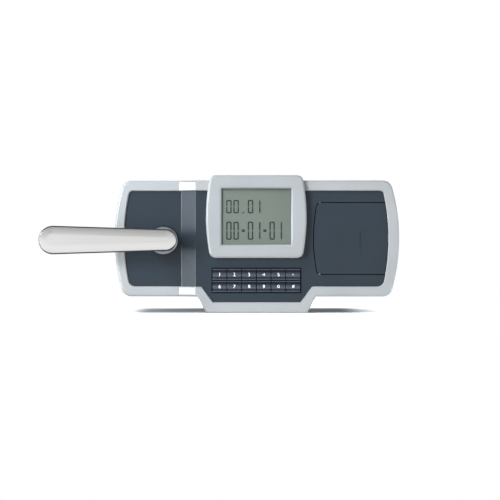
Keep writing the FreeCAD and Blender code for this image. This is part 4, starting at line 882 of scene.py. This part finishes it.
def paintedFloorShadowShare(tree, along, i):
    # 1 in the painted shadow's core and 0 past its edge, along one axis
    off = addNode(tree, "ShaderNodeMath", {1: floor["paintedShadowAt"][i] * mm}, {0: along}, operation="SUBTRACT")
    away = addNode(tree, "ShaderNodeMath", None, {0: off.outputs[0]}, operation="ABSOLUTE")
    share = addNode(tree, "ShaderNodeMapRange", {
        "From Min": floor["paintedShadowEdge"][i] * mm, "From Max": floor["paintedShadowCore"][i] * mm,
    }, {"Value": away.outputs[0]}, interpolation_type="SMOOTHSTEP")
    return share.outputs["Result"]


def makeFloor():
    bm = bmesh.new()
    bmesh.ops.create_grid(bm, x_segments=2, y_segments=2, size=floor["reach"] * mm)
    bmesh.ops.translate(bm, vec=(0, 0, floor["below"] * mm), verts=bm.verts[:])
    material, tree, place = newMaterial("matteBoard")
    away = addNode(tree, "ShaderNodeVectorMath", None, {0: place}, operation="LENGTH")
    fade = addNode(tree, "ShaderNodeMapRange",
                   {"From Min": floor["paleFrom"] * mm, "From Max": floor["paleTo"] * mm},
                   {"Value": away.outputs["Value"]}, interpolation_type="SMOOTHSTEP")
    axes = addNode(tree, "ShaderNodeSeparateXYZ", None, {"Vector": place}).outputs
    across, outward = paintedFloorShadowShare(tree, axes["X"], 0), paintedFloorShadowShare(tree, axes["Y"], 1)
    # painted shadow: the floor's colour is darkened in a soft oval under and behind the unit
    paintedFloorShadow = addNode(tree, "ShaderNodeMath", None, {0: across, 1: outward}, operation="MULTIPLY")
    shade = addNode(tree, "ShaderNodeMapRange",
                    {"To Min": floor["exposure"], "To Max": floor["exposure"] * (1 - floor["paintedShadowDepth"])},
                    {"Value": paintedFloorShadow.outputs[0]})
    paper = addNode(tree, "ShaderNodeBsdfDiffuse", None, {"Color": shade.outputs["Result"]})
    glow = addNode(tree, "ShaderNodeEmission", {"Color": (1, 1, 1, 1), "Strength": 1.0})
    both = addNode(tree, "ShaderNodeMixShader", None,
                   {0: fade.outputs["Result"], 1: paper.outputs["BSDF"], 2: glow.outputs["Emission"]})
    addNode(tree, "ShaderNodeOutputMaterial", None, {"Surface": both.outputs["Shader"]})
    ground = newObject("paleFloor", bm, material)
    ground.visible_glossy = False  # the room below eye level is mirrored instead, so metal keeps dark edges
    ground.visible_diffuse = False  # what it would throw back is in the room's matt level
    ground.visible_shadow = False


makeFloor()


# Flag: a grey card beside the lever's end, out of the picture, so that the bright metal keeps an edge there
flag = {"from": (-217.0, -120.0), "to": (-262.0, -74.0), "low": -36.0, "high": 33.0, "colour": "#8C8C8C"}


def makeFlag():
    bm = bmesh.new()
    bmesh.ops.create_grid(bm, x_segments=1, y_segments=1, size=0.5)
    start, end = Vector(flag["from"]), Vector(flag["to"])
    along = end - start
    bmesh.ops.scale(bm, vec=(along.length, flag["high"] - flag["low"], 1), verts=bm.verts[:])
    bmesh.ops.transform(bm, matrix=Matrix.Rotation(math.pi / 2, 4, "X"), verts=bm.verts[:])
    bmesh.ops.transform(bm, matrix=Matrix.Rotation(math.atan2(along.y, along.x), 4, "Z"), verts=bm.verts[:])
    middle = (start + end) / 2
    bmesh.ops.translate(bm, vec=(middle.x, middle.y, (flag["low"] + flag["high"]) / 2), verts=bm.verts[:])
    bmesh.ops.scale(bm, vec=(mm, mm, mm), verts=bm.verts[:])
    material, tree = newMaterial("flagCard")[:2]
    matt = addNode(tree, "ShaderNodeBsdfDiffuse", {"Color": lin(flag["colour"])})
    addNode(tree, "ShaderNodeOutputMaterial", None, {"Surface": matt.outputs["BSDF"]})
    card = newObject("greyFlag", bm, material)
    card.visible_camera = False
    card.visible_shadow = False


makeFlag()


# Light: a key from the upper left with a small fill in front, three panels at the left for the metal to
# mirror, a lamp low at the right and one high at the left for the edges, and a room bright at eye level
softboxes = {
    "key": {"place": (-0.70, -0.75, 1.15), "size": (0.35, 0.35), "watts": 16.2, "mirrored": False},
    "fill": {"place": (-0.50, -0.75, 0.19), "size": (0.35, 0.15), "watts": 6.2, "mirrored": False},
    "strip": {"place": (-0.86, -1.18, 0.10), "size": (0.20, 1.0), "watts": 11.0, "mirrored": True},
    "panel": {"place": (-1.12, -1.04, 0.10), "size": (0.55, 1.2), "watts": 8.6, "mirrored": True},
    "low": {"place": (0.95, -0.06, -0.60), "size": (0.5, 0.5), "watts": 22.0, "mirrored": False},
    "high": {"place": (-0.80, -0.12, 0.80), "size": (0.5, 0.5), "watts": 10.0, "mirrored": False},
    "side": {"place": (-1.50, -0.10, 0.15), "size": (0.60, 1.0), "watts": 4.5, "mirrored": True},
}
room = {"strength": 0.98, "colour": "#F6FAFF", "lampColour": "#F0F7FF",
        "byHeight": ((0.0, 0.10), (0.115, 0.12), (0.19, 0.30), (0.27, 0.85), (0.35, 1.07), (0.49, 1.0),
                     (0.53, 0.85), (0.59, 0.67), (0.63, 0.55), (0.67, 0.48), (0.72, 0.41), (0.79, 0.28),
                     (0.88, 0.16), (1.0, 0.1)),  # what mirrors see, from straight below to straight above
        "matt": (0.78, 0.10)}  # what matt surfaces get, from below and from above


def makeLights():
    for name, v in softboxes.items():
        data = bpy.data.lights.new(name + "Softbox", "AREA")
        data.shape = "RECTANGLE"
        data.size, data.size_y = v["size"]
        data.energy = v["watts"]
        data.color = lin(room["lampColour"])[:3]
        lamp = bpy.data.objects.new(name + "Softbox", data)
        lamp.location = v["place"]
        lamp.rotation_euler = (-Vector(v["place"])).to_track_quat("-Z", "Y").to_euler()
        lamp.visible_glossy = v["mirrored"]
        bpy.context.scene.collection.objects.link(lamp)
    world = bpy.data.worlds.new("whiteRoom")
    bpy.context.scene.world = world
    world.use_nodes = True
    tree = world.node_tree
    tree.nodes.clear()
    towards = addNode(tree, "ShaderNodeTexCoord").outputs["Generated"]
    height = addNode(tree, "ShaderNodeSeparateXYZ", None, {"Vector": towards}).outputs["Z"]
    share = addNode(tree, "ShaderNodeMapRange", {"From Min": -1.0, "From Max": 1.0}, {"Value": height})
    tint = lin(room["colour"])
    band = addNode(tree, "ShaderNodeValToRGB", None, {"Fac": share.outputs["Result"]},
                   ramp=[(at, [c * level for c in tint[:3]] + [1.0]) for at, level in room["byHeight"]])
    rays = addNode(tree, "ShaderNodeLightPath").outputs
    walls = addNode(tree, "ShaderNodeBackground", {"Strength": room["strength"]},
                    {"Color": band.outputs["Color"]})
    level = addNode(tree, "ShaderNodeMapRange", {"To Min": room["matt"][0], "To Max": room["matt"][1]},
                    {"Value": share.outputs["Result"]})
    even = addNode(tree, "ShaderNodeBackground", {"Color": tint}, {"Strength": level.outputs["Result"]})
    lit = addNode(tree, "ShaderNodeMixShader", None,
                  {0: rays["Is Diffuse Ray"], 1: walls.outputs[0], 2: even.outputs[0]})
    white = addNode(tree, "ShaderNodeBackground", {"Color": (1, 1, 1, 1), "Strength": 1.0})
    both = addNode(tree, "ShaderNodeMixShader", None,
                   {0: rays["Is Camera Ray"], 1: lit.outputs[0], 2: white.outputs[0]})
    addNode(tree, "ShaderNodeOutputWorld", None, {"Surface": both.outputs[0]})


makeLights()


# Camera: level, straight in front, far enough back that the raised part looks 0.4% larger
view = {"place": (-5.9, -1250.0, -10.2), "widthSeen": 441.7, "seenAt": -24.0, "sensor": 36.0}


def makeCamera():
    data = bpy.data.cameras.new("frontCamera")
    data.sensor_fit = "HORIZONTAL"
    data.sensor_width = view["sensor"]
    data.lens = view["sensor"] * (view["seenAt"] - view["place"][1]) / view["widthSeen"]
    data.clip_start = 0.05
    data.clip_end = 60.0
    camera = bpy.data.objects.new("frontCamera", data)
    camera.location = Vector(view["place"]) * mm
    camera.rotation_euler = (math.pi / 2, 0, 0)
    bpy.context.scene.collection.objects.link(camera)
    bpy.context.scene.camera = camera
    bpy.context.scene.view_settings.view_transform = "Standard"


makeCamera()
print("floor, light and camera made")
